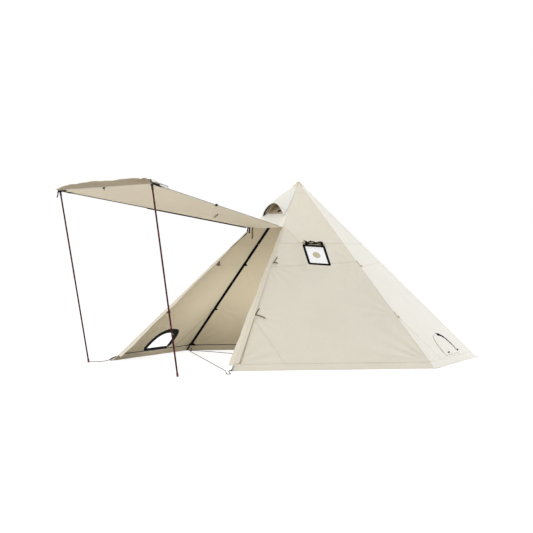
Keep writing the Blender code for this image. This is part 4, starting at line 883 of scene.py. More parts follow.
def make_hood():
    arc, stations = 40, 30
    turns = [pi * i / arc for i in range(arc + 1)]
    rows = [[hood_point(k / stations, turn) for turn in turns] for k in range(stations + 1)]
    # The hood takes the painted light copy of the canvas outside and painted shade inside
    hood = grid_sheet("vent_hood_cloth", rows, [CANVAS_FRONT_LIT, HOOD_INSIDE_SHADE], 0.0018, flip=True)
    keep(hood, TENT, "vent_hood")
    # The rim's piping and the fold's tail take the lighter cream, partly painted highlight
    tube("vent_hood_piping", [hood_point(0.008, turn, 0.001) for turn in turns], 0.0052, CREAM_TRIM_AND_HIGHLIGHT)
    fold = [hood_point(*at, -0.002) for at in zip(linspace(0.0, 0.14, 9), linspace(0.95, 0.12, 9))]
    tube("vent_hood_fold", fold, 0.0045, CREAM_TRIM_AND_HIGHLIGHT, 8)
    stay = [hood_point(0.03 + 0.02 * sin(turn), turn, 0.010) for turn in linspace(pi - 0.04, 2.25, 14)]
    tube("hood_stay", stay, 0.0085, WEBBING, 8, TENT_BLACK)
    place = wall_place(FRONT, lift=0.0012)
    outline = arch_outline(NET_HALF, SLANT - NET_LOW_SLANT, SLANT - MESH_HIGH_SLANT + 0.012)
    net = cut_sheet("vent_net_panel", outline, [], place, 0.012, [NET], 0.0008)
    keep(net, ("tent", "mesh"), "vent_mesh")
    for k, (across, slant, long, wide) in enumerate(((0.020, 0.500, 0.044, 0.026), (-0.030, 0.420, 0.034, 0.018))):
        line = along_line([(across - long / 2, SLANT - slant), (across + long / 2, SLANT - slant + 0.008)], 0.01)
        laid_strip(f"hood_pad_{k}", place, line, flat_section(wide, 0.0012, 0.008), WEBBING, TENT_BLACK)


def make_stove_jack():
    flat_place = wall_place(RIGHT_FRONT, STOVE_ACROSS, STOVE_UP, STOVE_TILT)

    def place(x, y, w=0.0):
        return flat_place(asarray(x, float) - STOVE_SKEW * asarray(y, float), y, w)

    def domed(x, y):
        return place(x, y, 0.0022 * (1 - (x ** 2 + y ** 2) / STOVE_PORT ** 2) + 0.0008)

    def circle(size):
        return [(STOVE_PORT * cos(t) * size, STOVE_PORT * sin(t) * size) for t in linspace(0, 2 * pi, 49)[:-1]]
    half_x, half_y = (size / 2 for size in STOVE_SIZE)
    panel = cut_sheet("stove_panel_cloth", rectangle(half_x, half_y), [circle(1)], place, 0.012,
                      [STOVE_CLOTH], 0.0022)
    keep(panel, ("tent", "stove_panel"), "stove_jack_panel")
    port = cut_sheet("stove_port_cloth", circle(0.997), [], domed, 0.008, [STOVE_TAN], 0.0020)
    keep(port, ("tent", "stove_port"), "stove_jack_port")
    square = rectangle(half_x * 0.80, half_y * 0.84)
    for name, path in (("port", circle(1.06)), ("panel", along_line(square + square[:1], 0.02)[:-1])):
        laid_strip(f"stove_{name}_stitch", place, path, box_section(0.0012, 0.0, 0.001), STOVE_CLOTH,
                   ("tent", "stove_panel"), closed=True)
    half_border = (STOVE_BORDER + 0.004) / 2
    middle = rectangle(half_x + half_border - 0.004, half_y + half_border - 0.004)
    laid_strip("stove_frame_webbing", place, round_corners(middle, 0.006, 5),
               eased_section(half_border, 0.0004, 0.0016, 0.0026, 0.002), WEBBING, TENT_BLACK, "stove_jack_frame",
               closed=True)
    make_flap_roll(place, half_x + STOVE_BORDER, half_y + STOVE_BORDER + SEAT)


def round_corners(outline, radius, steps):
    """An outline with its corners rounded and its sides divided."""
    outline = array(outline, float)
    made = []
    for before, at, after in zip(np.roll(outline, 1, axis=0), outline, np.roll(outline, -1, axis=0)):
        one, two = (at + (end - at) / np.linalg.norm(end - at) * radius for end in (before, after))
        made += [(1 - t) ** 2 * one + 2 * t * (1 - t) * at + t ** 2 * two for t in linspace(0, 1, steps)]
    return divide(array(made), 0.03)


def make_flap_roll(place, half, low):
    """The stove jack's rain flap, rolled up and held by two straps."""
    centre_y, steps, windings, core = low + STOVE_ROLL, 72, 2.25, 0.006
    rows = []
    for x in linspace(-half * 0.93, half, 21):
        sag = 0.004 * sin((x / half + 1) * 2.6)
        squash = 1.0 - 0.16 * sin((x / half) * 5.0) ** 2
        line = [(centre_y + 0.028, SEAT + 0.0015)]
        for share in (i / steps for i in range(steps + 1)):
            turn, radius = -pi / 2 - share * windings * 2 * pi, STOVE_ROLL + (core - STOVE_ROLL) * share
            high = (STOVE_ROLL + radius * sin(turn)) * squash
            line.append((centre_y + sag + radius * cos(turn), SEAT + high))
        line = array(line)
        rows.append(place(np.full(len(line), x), line[:, 0], line[:, 1]))
    roll = grid_sheet("stove_flap_rolled", rows, [TAN_TRIM_AND_SHADE, CANVAS_INSIDE_SHADE], 0.0022, flip=True)
    keep(roll, TENT, "stove_flap_roll")
    radii = 0.0050 + 0.0030 * np.sin(linspace(0.3, 9.0, 24)) ** 2
    for name, near, far, low_turn, high_turn in (("left", -0.70, 0.25, 1.1, -0.7), ("right", 0.05, 0.80, 0.9, -0.2),
                                                 ("low", -0.80, 0.84, 1.2, 1.0)):
        lumps = []
        for t in linspace(0, 1, 24):
            turn = low_turn + (high_turn - low_turn) * sin(pi * t * 0.9) ** 2
            radius = STOVE_ROLL + 0.0025 + 0.002 * sin(19 * t)
            lumps.append(place((near + (far - near) * t) * half, centre_y - radius * sin(turn),
                               STOVE_ROLL + radius * cos(turn)))
        tube(f"stove_roll_edge_{name}", lumps, radii, WEBBING, 8, TENT_BLACK)
    radius = STOVE_ROLL + 0.003
    for name, x in (("left", -half * 0.66), ("right", half * 0.74)):
        path = [place(x, centre_y + 0.056, 0.003), place(x, centre_y + 0.030, 0.004)]
        path += [place(x, centre_y + radius * cos(t), STOVE_ROLL + radius * sin(t))
                 for t in linspace(-pi * 0.5, pi * 0.62, 16) + pi / 2 - 0.35]
        path += [place(x, low - 0.010, 0.004)]
        wide = place(x + 1.0, centre_y, 0.0) - place(x, centre_y, 0.0)
        wide = wide / np.linalg.norm(wide)
        path = smooth_curve(path, 2)
        rows = [[point + wide * a + np.cross(wide, step / np.linalg.norm(step)) * b
                 for a, b in flat_section(0.022, -0.001, 0.001)]
                for point, step in zip(path, np.gradient(path, axis=0))]
        bar(f"stove_strap_{name}", rows, WEBBING, TENT_BLACK)


def make_vents():
    for side, face, across, turn in (("left", LEFT_FRONT, VENT_LEFT_ACROSS, FLAP_OPEN),
                                     ("right", RIGHT_REAR, VENT_RIGHT_ACROSS, 0.0)):
        make_vent_edge(side, wall_place(face, across, VENT_UP))
        make_vent_flap(side, face, across, turn)


def make_vent_edge(side, place):
    """The black bound edge of a vent: narrow outside, over the edge, and wide inside, most of all at its ends."""
    inner, inside_edge = -CLOTH - SEAT, -1
    section = array([(inside_edge, inner), (0.0003, inner), (0.0003, SEAT), (-VENT_BORDER_OUT, SEAT),
                     (-VENT_BORDER_OUT, 0.0015), (0.0010, 0.0022), (VENT_LAP, 0.0), (VENT_LAP, inner),
                     (VENT_LAP - 0.002, inner - 0.0026), (inside_edge, inner - 0.0018)])
    path = vent_outline()
    rows = []
    for point, normal in zip(path, ring_normals(path, True)):
        offs = section.copy()
        grow = 0.008 * sin(point[0] * 21 + 1) + 0.040 * abs(point[0]) / 0.33
        offs[offs[:, 0] == inside_edge, 0] = -(VENT_BORDER_IN + 0.012 + grow)
        y = np.maximum(point[1] + normal[1] * offs[:, 0], 0.006 - VENT_UP)
        rows.append(place(point[0] + normal[0] * offs[:, 0], y, offs[:, 1]))
    bar(f"vent_{side}_bound_edge", rows + rows[:1], WEBBING, TENT_BLACK, f"vent_binding_{side}", caps=False)


def make_vent_flap(side, face, across, turn):
    hinge_up = VENT_UP - VENT_BORDER_OUT - SEAT - FLAP_BEAD
    pivot = wall_point(face, across, hinge_up, SEAT + FLAP_BEAD)
    along = face_axes(face)[1]
    foot = hinge_up - VENT_UP
    body = f"vent_flap_{side}"
    cloth, black = (body, "canopy_cloth"), (body, "black_webbing")

    def place(x, y, w=0.0):
        x, y, w = (asarray(v, float) for v in np.broadcast_arrays(x, y, w))
        at = wall_point(face, across + x, VENT_UP + y, 0.0034 + w + drape(face, across + x, VENT_UP + y))
        arm = at - pivot
        flat = (arm @ along)[..., None] * along
        moved = pivot + flat + (arm - flat) * cos(turn) + np.cross(along, arm) * sin(turn)
        moved[..., 2] = np.maximum(moved[..., 2], 0.004)
        return moved
    outline = [(x, foot) if y < 0 else (x, y) for x, y in vent_outline(FLAP_LAP)]
    flap = keep(cut_sheet(f"vent_{side}_flap_cloth", outline, [], place, 0.020, [CANVAS, CANVAS_INSIDE_SHADE]), cloth, body)
    edge = array([point for point in vent_outline(FLAP_LAP - 0.006) if point[1] > 0.0])
    edge = edge[np.argsort(-edge[:, 0] + 1e-6 * edge[:, 1])]
    zip_end = 0.05
    zip_path, rest = edge[edge[:, 0] > zip_end - 0.02], edge[edge[:, 0] < zip_end]
    outer, inner = (zip_path + ring_normals(zip_path, False) * grow for grow in (0.026, -0.026))
    for line in (outer, inner):
        line[:, 1] = np.maximum(line[:, 1], foot + 0.004)
    # The pale strips beside the zip and the piping take the lighter cream, partly painted highlight
    for word, line, width, low, high, look, home in (
            ("zip", zip_path, 0.042, 0.0004, 0.0040, WEBBING, black),
            ("outer", outer, 0.009, 0.0002, 0.0030, CREAM_TRIM_AND_HIGHLIGHT, cloth),
            ("inner", inner, 0.009, 0.0002, 0.0030, CREAM_TRIM_AND_HIGHLIGHT, cloth),
            ("piping", rest, 0.007, 0.0002, 0.0032, CREAM_TRIM_AND_HIGHLIGHT, cloth),
            # The tan strip inside the piping is its painted shadow
            ("shade", rest - ring_normals(rest, False) * 0.006, 0.004, 0.0002, 0.0014, TAN_TRIM_AND_SHADE, cloth)):
        laid_strip(f"vent_{side}_flap_{word}", place, line, flat_section(width, low, high), look, home)
    radii = [0.005, 0.0085, 0.010, 0.010, 0.010, 0.0085, 0.005]
    for k, (x, y, look) in enumerate(((0.352, 0.022, WEBBING_GREY), (-0.145, 0.016, WEBBING_BROWN))):
        pill = [place(x + t * 0.020, y + t * 0.006, 0.010) for t in linspace(-1, 1, 7)]
        tube(f"vent_{side}_toggle_{k}", pill, radii, look, home=cloth)
    loop = [place(0.300 + 0.030 * sin(t), 0.075 + 0.040 * cos(t), 0.006) for t in linspace(0.4, 2.9, 12)]
    tube(f"vent_{side}_loop", loop, 0.0045, TAN_TRIM_AND_SHADE, 8, cloth)
    hem = [place(x, foot) for x in linspace(-0.33, 0.33, 12)]
    tube(f"vent_{side}_hinge_hem", hem, FLAP_BEAD, CANVAS_TRIM, 8, cloth)


def make_seam_webbing():
    near = -CLOTH - SEAT
    for face, name in ((RIGHT_FRONT, "right"), (RIGHT_REAR, "rear_right"), (REAR, "rear_left"),
                       (LEFT_REAR, "left")):
        rows = []
        for up in linspace(0.002, SLANT - PEAK_OPENING - 0.02, 60):
            row = []
            for w, order in ((near, 1), (near - 0.0016, -1)):
                corner = HALF_TAN * ((SLANT - up) * LEAN_UP + w * LEAN_OUT)
                line = [wall_point(face, corner - SEAM_WING * t, up, w) for t in (1, 0.5, 0)]
                line += [wall_point(face + 1, -corner + SEAM_WING * t, up, w) for t in (0.5, 1)]
                row += line[::order]
            rows.append(row)
        bar(f"seam_tape_{name}", rows, WEBBING, TENT_BLACK, f"seam_webbing_{name}", flip=True)


def make_seams():
    """Felled seams across the panels, ridges along the corners, and the foot seam."""
    felled = eased_section(0.0045, 0.0002, 0.0011, 0.0016, 0.0015)
    inner = box_section(0.003, -CLOTH - 0.0004, -CLOTH - 0.0016)
    band = box_section(0.006, -CLOTH - 0.0004, -CLOTH - 0.002)
    foot = wall_half(0)
    for face in range(1, 6):
        place, word = wall_place(face), FACES[face]
        for k, seam in enumerate(PANEL_SEAMS + ((GUSSET_SEAM,) if face == RIGHT_FRONT else ())):
            # An across of one whole stands for the wall's own edge
            path = along_line([(copysign(wall_half(up) - 0.004, across) if abs(across) == 1.0 else across, up)
                               for across, up in seam], 0.02)
            parts = [path]
            if face == RIGHT_FRONT:
                clear = (np.abs(path[:, 0] - STOVE_ACROSS) > 0.14) | (np.abs(path[:, 1] - STOVE_UP) > 0.165)
                cuts = np.flatnonzero(np.diff(clear.astype(int))) + 1
                parts = [part for part, keeps in zip(np.split(path, cuts), np.split(clear, cuts))
                         if keeps.all() and len(part) > 2]
            for n, part in enumerate(parts):
                laid_strip(f"seam_{word}_{k}_{n}", place, part, felled, CANVAS_TRIM)
            laid_strip(f"seam_inside_{word}_{k}", place, path, inner,
                       WEBBING_BROWN if k == 2 and face == LEFT_FRONT else CANVAS_INSIDE_SHADE)
        tube(f"foot_seam_{word}", wall_point(face, linspace(-foot, foot, 60), 0.0), 0.0040, CANVAS)
        laid_strip(f"foot_binding_{word}", place, along_line([(0.02 - foot, 0.012), (foot - 0.02, 0.012)], 0.03),
                   band, WEBBING, TENT_BLACK)
    ups = linspace(0.003, SLANT - 0.10, 90)
    for k in range(6):
        tube(f"corner_ridge_{k}", wall_point(k, wall_half(ups), ups, 0.0006), 0.0014, CANVAS, 8)


def sew_patch(name, face, outline, lift, look, thick=0.0010, home=TENT):
    keep(cut_sheet(name, outline, [], wall_place(face, lift=lift), 0.012, [look], thick), home)


def make_guy_outs():
    """Triangular patches with webbing loops beside each seam, and their black backing inside."""
    for face in range(1, 6):
        for up in GUY_UPS:
            for side in (-1, 1) if face == LEFT_FRONT else (-1,):
                make_guy_out(face, up, side)


def make_guy_out(face, up, side):
    word = f"{FACES[face]}_{'high' if up > 1 else 'low'}_{'left' if side < 0 else 'right'}"
    half, near, place = GUY_PATCH / 2, wall_half(up), wall_place(face)
    outline = [(side * (wall_half(up - half) - 0.003), up - half), (side * (near - 0.078), up - 0.042),
               (side * (wall_half(up + half) - 0.003), up + half)][::-side]
    sew_patch(f"guy_patch_{word}", face, outline, 0.0010, CANVAS, 0.0009)
    stitch = divide(array(outline) * 0.94 + np.mean(outline, axis=0) * 0.06, 0.012)
    laid_strip(f"guy_stitch_{word}", place, stitch, box_section(0.0016, 0.0010, 0.0018), TAN_TRIM_AND_SHADE, closed=True)
    # On the less lit right front wall the straps and loops take the brown webbing, painted shade on the tan webbing
    shaded = face == RIGHT_FRONT
    look = WEBBING_BROWN if shaded else WEBBING_TAN
    high, low, inset = (half + 0.06, 0.012, 0.042) if shaded else (half - 0.005, -0.038, 0.012)
    strap = [(side * (wall_half(up + t) - inset - 0.010 * t / half), up + t) for t in linspace(high, low, 12)]
    laid_strip(f"guy_strap_{word}", place, strap, flat_section(0.011, 0.0019, 0.0042), look)
    start = array((side * (wall_half(up + low) - inset + 0.004), up + low + 0.002))
    reach = array((-side * 0.115, -0.055) if shaded and up < 1 else (-side * 0.056, -0.008))
    rows = []
    for t in linspace(0, 1, 14):
        x, y = start + reach * t
        w = 0.003 + 0.010 * sin(pi * t) ** 0.8
        rows.append([wall_point(face, x, y + edge * 0.006, w + edge * 0.003) for edge in (-1, 1)])
    keep(grid_sheet(f"guy_loop_{word}", rows, [look], 0.0024, flip=side < 0, offset=0.0))
    if side > 0:
        outline = [(near - x, up + y)
                   for x, y in ((0.100, 0.060), (0.250, -0.010), (0.210, -0.030), (0.100, -0.012))]
        sew_patch(f"guy_backing_{word}", face, outline, -CLOTH - 0.0010, WEBBING_BROWN)
    elif face > 1:
        outline = [(near - x, up + y) for x, y in ((0.012, 0.045), (0.055, -0.030), (0.004, -0.030))]
        sew_patch(f"guy_backing_{word}", face - 1, outline, -CLOTH - 0.0022, WEBBING, home=TENT_BLACK)


def make_corner_backing():
    """Black triangles inside the foot of each closed seam, and a strap over the skirt's inner corner."""
    near = wall_half(0.0)
    for face in range(1, 5):
        for at, side, word in ((face, 1, "a"), (face + 1, -1, "b")):
            outline = [(side * (near - x), y) for x, y in ((0.105, 0.004), (0.010, 0.004), (0.026, 0.075))][::side]
            sew_patch(f"foot_backing_{FACES[face]}_{word}", at, outline, -CLOTH - 0.0032, WEBBING, home=TENT_BLACK)
    degrees = -60 + 60 * LEFT_REAR
    turn = radians(degrees)
    path = [skirt_side(degrees, height, -0.0075, corner=True) for height in linspace(0.066, 0.012, 10)]
    ribbon("corner_strap_left_rear", path, 0.030, 0.0022, WEBBING, (-cos(turn), -sin(turn), -0.6), TENT_BLACK)


def make_placket():
    """The right storm flap's outer half, folded back along the front seam of the wall, with painted shade on its
    underside and a painted shadow strip beside its free edge.
    """
    place, share = wall_place(RIGHT_FRONT), linspace(0, 1, 7)

    def width(up):
        return interp(up, (0.0, DOOR_TOP_UP), (0.052, 0.012))
    rows = [place(-wall_half(up) + 0.0015 + width(up) * share, up,
                  0.0014 + 0.0085 * share ** 1.6 + 0.0012 * sin(up * 31) * share)
            for up in linspace(0.004, DOOR_TOP_UP - 0.01, 90)]
    # Its underside takes the tan as painted shade
    flap = keep(grid_sheet("placket_cloth", rows, [CANVAS, TAN_TRIM_AND_SHADE], CLOTH, offset=0.0))
    # A tan strip beside the free edge is its painted shadow
    rows, high = [], 0.66
    for up in linspace(0.004, high, 40):
        wide = interp(up, (0.0, high), (0.024, 0.010))
        rows.append(place(-wall_half(up) + width(up) + array((-0.004, wide, wide, -0.004)), up,
                          array((0.0004, 0.0004, 0.0016, 0.0016))))
    bar("placket_painted_shadow", rows, PLACKET_SHADOW)


# Awning, which is the door raised on its two poles

def awning_point(across, reach, w=0.0):
    """Point of the raised door panel: reach from its hinge, w up from its flat plane."""
    hinge = wall_point(FRONT, 0, DOOR_TOP_UP, -CLOTH / 2)
    across, reach, w = spread(across, reach, w)
    c, s = cos(AWNING_PITCH), sin(AWNING_PITCH)
    return hinge + array((1.0, 0, 0)) * across + array((0, -c, s)) * reach + array((0, s, c)) * w


def awning_half(reach):
    top = wall_half(DOOR_TOP_UP) - SEAT / 2 / cos(pi / 6) - HEM_INSET
    return top + (AWNING_HALF_WIDTH - top) * reach / AWNING_REACH


def awning_drop(share, reach):
    """How far the panel's cloth lies off its flat plane, downward negative."""
    share, reach = asarray(share, float), asarray(reach, float)
    inner = np.clip(np.abs(share) / 0.95, 0, 1)
    arch = np.sin(pi * np.clip(reach / AWNING_REACH, 0, 1)) ** 0.9
    across = share * awning_half(reach)
    w = -AWNING_SAG * (1 - inner ** 2) * arch + 0.0020 * ripple(across, reach, 0.8, 5) * (1 - inner ** 4) * arch
    for side, rise, span in ((-1, 0.0028, 0.6), (1, 0.0020, 0.5)):
        fold = pull(across - side * AWNING_HALF_WIDTH, AWNING_REACH - reach, side, rise, span, 11, side, 0.22)
        w = w + fold * (1 - inner ** 6)
    for side in (-1, 1):
        w = w + pull(across - side * awning_half(0.0), reach, side, 0.0025, 0.6, 9, 0, 0.15) * (1 - inner ** 6)
    return w


def on_awning(across, reach, w=0.0):
    """Points off the awning's sagging cloth: positive w above it, negative under it."""
    share = np.clip(across / awning_half(reach), -1, 1)
    return awning_point(across, reach, awning_drop(share, reach) + w)


def make_awning():
    share = linspace(-1, 1, 57)
    rows = [awning_point(share * awning_half(reach), reach, awning_drop(share, reach))
            for reach in linspace(0.0, AWNING_REACH - 0.0036, 97)]
    # The panel's underside takes the painted warm shade
    panel = grid_sheet("awning_cloth", rows, [CANVAS, UNDERSIDE_SHADE], CLOTH, flip=True, offset=0.0)
    tuple(awning_point(0, -0.01))
    tuple(awning_point(0, 0.06))
    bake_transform(panel)
    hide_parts("awning_panel")
    make_awning_edges()
    make_awning_skirt()
    for side, word in SIDES:
        make_corner(side, word)


def make_awning_edges():
    """Hems and zips along the panel's sides, and its fold line at the poles."""
    near, far = 0.07, AWNING_REACH - 0.006
    for side, word, kind, inset, width, low, high, look, home in (
            (-1, "left", "hem", 0.030, 0.030, -0.0022, -0.0010, UNDERSIDE_SHADE, AWNING),
            (1, "right", "hem", 0.016, 0.030, -0.0022, -0.0010, CANVAS_TRIM, AWNING),
            (1, "right", "tape", 0.014, 0.014, 0.0012, 0.0028, TAPE, AWNING_ZIP),
            (1, "right", "teeth", 0.006, 0.006, 0.0012, 0.0044, TAPE, AWNING_ZIP)):
        aside, off = array(flat_section(width, low, high)).T
        rows = [on_awning(side * (awning_half(reach) - inset + aside), reach, off)
                for reach in linspace(near, far, 90)]
        bar(f"awning_{kind}_{word}", rows, look, home, flip=side < 0)
    for kind, end, width, drop in (("tape", far, 0.010, 0.004), ("teeth", 1.35, 0.016, 0.007)):
        reach = linspace(near, end, 80)
        path = awning_point(0.002 - awning_half(reach), reach, -drop)
        ribbon(f"awning_{kind}_left", path, width, 0.0026, TAPE, (1, 0, 0), AWNING_ZIP)
    share = linspace(-0.985, 0.985, 80)
    rows = [on_awning(share * awning_half(AWNING_REACH - back), AWNING_REACH - back, w)
            for back, w in ((0.024, -0.0008), (0.024, -0.0022), (0.004, -0.0022), (0.004, -0.0008))]
    bar("awning_fold_hem", np.stack(rows, axis=1), CANVAS_TRIM, AWNING)


def skirt_width(share):
    grow = np.minimum(1.0, (share + 1) / 0.95)
    return AWNING_SKIRT_NARROW * 0.8 + (AWNING_SKIRT - AWNING_SKIRT_NARROW) * 0.97 * np.sin(grow * pi / 2)


def awning_skirt_point(share, t):
    """Point of the door's own skirt: t from the fold line to the free edge."""
    share, t = (asarray(v, float) for v in np.broadcast_arrays(share, t))
    out = 0.0015 + skirt_width(share) * t
    wave = (0.0040 * np.sin(share * 9 + 1) + 0.0020 * np.sin(share * 23)) * t
    wave = wave + 0.0042 * np.sin(t * 13 + 2.4 * np.sin(share * 3.1)) * np.sin(pi * np.clip(t, 0, 1)) ** 0.5
    wave = wave + 0.036 * smooth((share - 0.84) / 0.14) * smooth(t / 0.25) * (1 - 0.95 * smooth((t - 0.35) / 0.6))
    return awning_point(share * (AWNING_HALF_WIDTH - 0.010), AWNING_REACH + out * cos(AWNING_SKIRT_PITCH),
                        out * sin(AWNING_SKIRT_PITCH) + wave)


def make_awning_skirt():
    share, home = linspace(-1, 1, 121), ("awning_skirt", "awning_cloth")
    rows = [awning_skirt_point(share, t) for t in linspace(0, 1, 25)]
    # The skirt's underside takes the painted shade tan
    skirt = grid_sheet("awning_skirt_cloth", rows, [CANVAS_TRIM, SKIRT_SHADE], CLOTH, flip=True, offset=0.0)
    keep(skirt, home, "awning_skirt")
    tube("awning_skirt_hem", awning_skirt_point(share, 0.985), 0.0030, CANVAS_TRIM, 8, home)


def make_corner(side, word):
    """Black webbing under the awning's corner, where the pole top seats."""
    end = AWNING_REACH - 0.0065
    rows = []
    for reach in linspace(end, end - 0.17, 24):
        width = 0.032 * min(1.0, 0.55 + (end - reach) / 0.05)
        across = awning_half(reach) - 0.002 - array((0.0, width, width, 0.0))
        drop = awning_drop(across / awning_half(reach), reach) * min(1.0, (end - reach) / 0.06)
        rows.append(awning_point(side * across, reach, drop + array((-0.0011, -0.0011, -0.0026, -0.0026))))
    bar(f"awning_corner_{word}", rows, WEBBING, AWNING_BLACK, f"awning_corner_webbing_{word}", flip=side > 0)


def seam_place(side):
    """Local frame of a door seam: x into the doorway, y down the seam from the door top, w outward."""
    top, foot = (wall_point(FRONT, side * wall_half(up), up) for up in (DOOR_TOP_UP, 0.0))
    length = np.linalg.norm(foot - top)
    down = (foot - top) / length
    normal = wall_point(FRONT, 0, 0, 1) - wall_point(FRONT, 0, 0, 0)
    inward = np.cross(down, normal)
    inward = -inward if inward[0] * side > 0 else inward

    def place(x, y, w=0.0):
        x, y, w = spread(x, y, w)
        return top + inward * x + down * y + normal * w
    return place, length


def make_door_edges():
    """The doorway's storm flaps, and their half of each zip."""
    share, middle, half_tape = linspace(0, 1, 9), -ZIP_DEPTH - 0.002, 0.0007
    aside, off = zip((0.001, -0.002), (0.0095, -0.002), (ZIP_TEETH_IN, middle + half_tape),
                     (ZIP_TEETH_IN, middle - half_tape), (0.0095, middle - half_tape), (0.001, -0.0035))
    for side, word in SIDES:
        place, length = seam_place(side)
        rows = []
        for y in linspace(STORM_TOP_GAP, length - 0.0015, 90):
            width = interp(y, (STORM_TOP_GAP, length * 0.93), (STORM_TOP_WIDTH, STORM_FOOT_WIDTH))
            wave = 0.0045 * sin(y * 9 + side) * share * smooth(y / 0.4) + 0.002 * sin(y * 27) * share ** 2
            rows.append(place(0.0010 + share * width, y, wave * smooth((length - y) / 0.15)))
        flap = grid_sheet(f"storm_flap_{word}_cloth", rows, [CANVAS, CANVAS_INSIDE_SHADE], CLOTH, flip=side < 0)
        keep(flap, TENT, f"storm_flap_{word}")
        rows = [place(aside, y, off) for y in linspace(STORM_TOP_GAP, length - 0.003, 100)]
        bar(f"door_zip_{word}_tape", rows, TAPE, TENT_ZIP, f"door_zip_{word}", flip=side < 0)
        make_teeth(word, place, length, middle)


def make_teeth(word, place, length, middle):
    """A row of moulded teeth on the zip tape."""
    pitch, long, half_high = 0.006, 0.0036, 0.0018
    near, far = ZIP_TEETH_IN - 0.001, ZIP_TEETH_IN + ZIP_TEETH_WIDTH
    box = ((3, 2, 1, 0), (4, 5, 6, 7), (0, 1, 5, 4), (1, 2, 6, 5), (2, 3, 7, 6), (3, 0, 4, 7))
    points, faces = [], []
    for k in range(int((length - STORM_TOP_GAP - 0.01) / pitch)):
        y = STORM_TOP_GAP + 0.004 + k * pitch
        faces += [tuple(len(points) + i for i in face) for face in box]
        points += [place(x, at, w) for w in (middle - half_high, middle + half_high)
                   for x, at in ((near, y), (far, y + long * 0.2), (far, y + long * 0.8), (near, y + long))]
    keep(add_object(f"door_zip_{word}_teeth", points, faces, [BLACK_METAL], crease=True), TENT_ZIP)


def curved_strap(name, points, pieces, width, thick, look, facing):
    """A strap through points of (across, reach, off) on the awning."""
    ribbon(name, smooth_curve([on_awning(*point) for point in points], pieces), width, thick, look, facing)


def straight_strap(name, start, end, count, width, thick, look, facing=(0, 0, 1), sag=0.0):
    """A strap from one (across, reach, off) on the awning to another, sagging between them."""
    start, end = array(start), array(end)
    path = [on_awning(*(start + (end - start) * t - UP * sag * sin(pi * t))) for t in linspace(0, 1, count)]
    ribbon(name, path, width, thick, look, facing)


def make_awning_fittings():
    """Toggle, ties, edge tab, folded corner flap and corner hardware of the awning."""
    path = [on_awning(0.004 + t * 0.018, 2.418, -0.006 + t * 0.009) for t in linspace(-1, 1, 9)]
    radii = [0.006, 0.010, 0.011, 0.010, 0.0085, 0.010, 0.011, 0.010, 0.006]
    tube("awning_toggle", path, radii, RUBBER, 12, ("awning", "pole_fitting"))
    tail = [on_awning(*point)
            for point in ((-0.004, 2.405, -0.008), (-0.012, 2.40, -0.020), (-0.020, 2.395, -0.032))]
    tube("awning_toggle_tail", smooth_curve(tail, 6), 0.0028, WEBBING_GREY, 8, AWNING_BLACK)
    straight_strap("awning_under_tie", (-0.027, 0.80, -0.006), (0.233, 0.95, -0.006), 16, 0.012, 0.0018,
                   WEBBING_GREY, sag=0.006)
    for k, across in enumerate((-0.30, -0.235)):
        straight_strap(f"awning_bar_tack_{k}", (across, 0.86, -0.004), (across + 0.03, 0.86, -0.004), 6,
                       0.008, 0.0016, WEBBING_GREY)
    edge = awning_half(1.297)
    tab = [(edge - 0.045, 1.30, 0.003), (edge - 0.01, 1.297, 0.008), (edge + 0.012, 1.295, 0.004),
           (edge - 0.004, 1.293, -0.008), (edge - 0.035, 1.293, -0.006)]
    curved_strap("awning_edge_tab", tab, 5, 0.013, 0.0022, WEBBING, (0.2, -1, 0))
    for k, (across, drop, sway, look) in enumerate((
            (-0.285, 0.050, -0.012, WEBBING), (-0.262, 0.075, 0.010, WEBBING),
            (-0.205, 0.145, 0.020, WEBBING_BROWN))):
        points = [(across + sway * aside, reach, -0.003 - drop * low)
                  for aside, reach, low in ((0, 0.050, 0), (0.4, 0.052, 0.35), (1, 0.050, 0.7), (0.6, 0.046, 1))]
        curved_strap(f"door_tie_{k}", points, 6, 0.016, 0.0024, look, (0.6, -0.8, 0))
    straight_strap("hinge_end_patch", (-0.300, 0.075, -0.006), (-0.250, 0.075, -0.012), 6, 0.032, 0.0026, WEBBING)
    straight_strap("fold_strap_left", (-0.926, 2.424, -0.006), (-0.761, 2.424, -0.006), 12, 0.014, 0.0026, WEBBING,
                   (0, -1, 0.1), 0.004)
    make_corner_flap()
    edge = awning_half(AWNING_REACH - 0.02)
    for side, word in SIDES:
        loop = [(side * (edge + aside), reach, off) for aside, reach, off in (
            (-0.050, 2.405, -0.004), (-0.015, 2.418, -0.012), (0.004, 2.424, -0.002), (0.002, 2.420, 0.008),
            (-0.020, 2.41, 0.010), (-0.060, 2.40, 0.006))]
        curved_strap(f"corner_strap_{word}", loop, 5, 0.026, 0.0024, WEBBING, (0, -1, 0.2))
        across = side * (edge - 0.006)
        straight_strap(f"corner_webbing_edge_{word}", (across, 2.40, -0.005), (across, 2.26, -0.005), 12,
                       0.018, 0.003, WEBBING)
    tail = [(-0.930, 2.424, 0.000), (-0.948, 2.420, -0.022), (-0.946, 2.416, -0.050), (-0.962, 2.414, -0.082)]
    curved_strap("corner_tail_left", tail, 6, 0.017, 0.0024, WEBBING, (0, -1, 0.1))


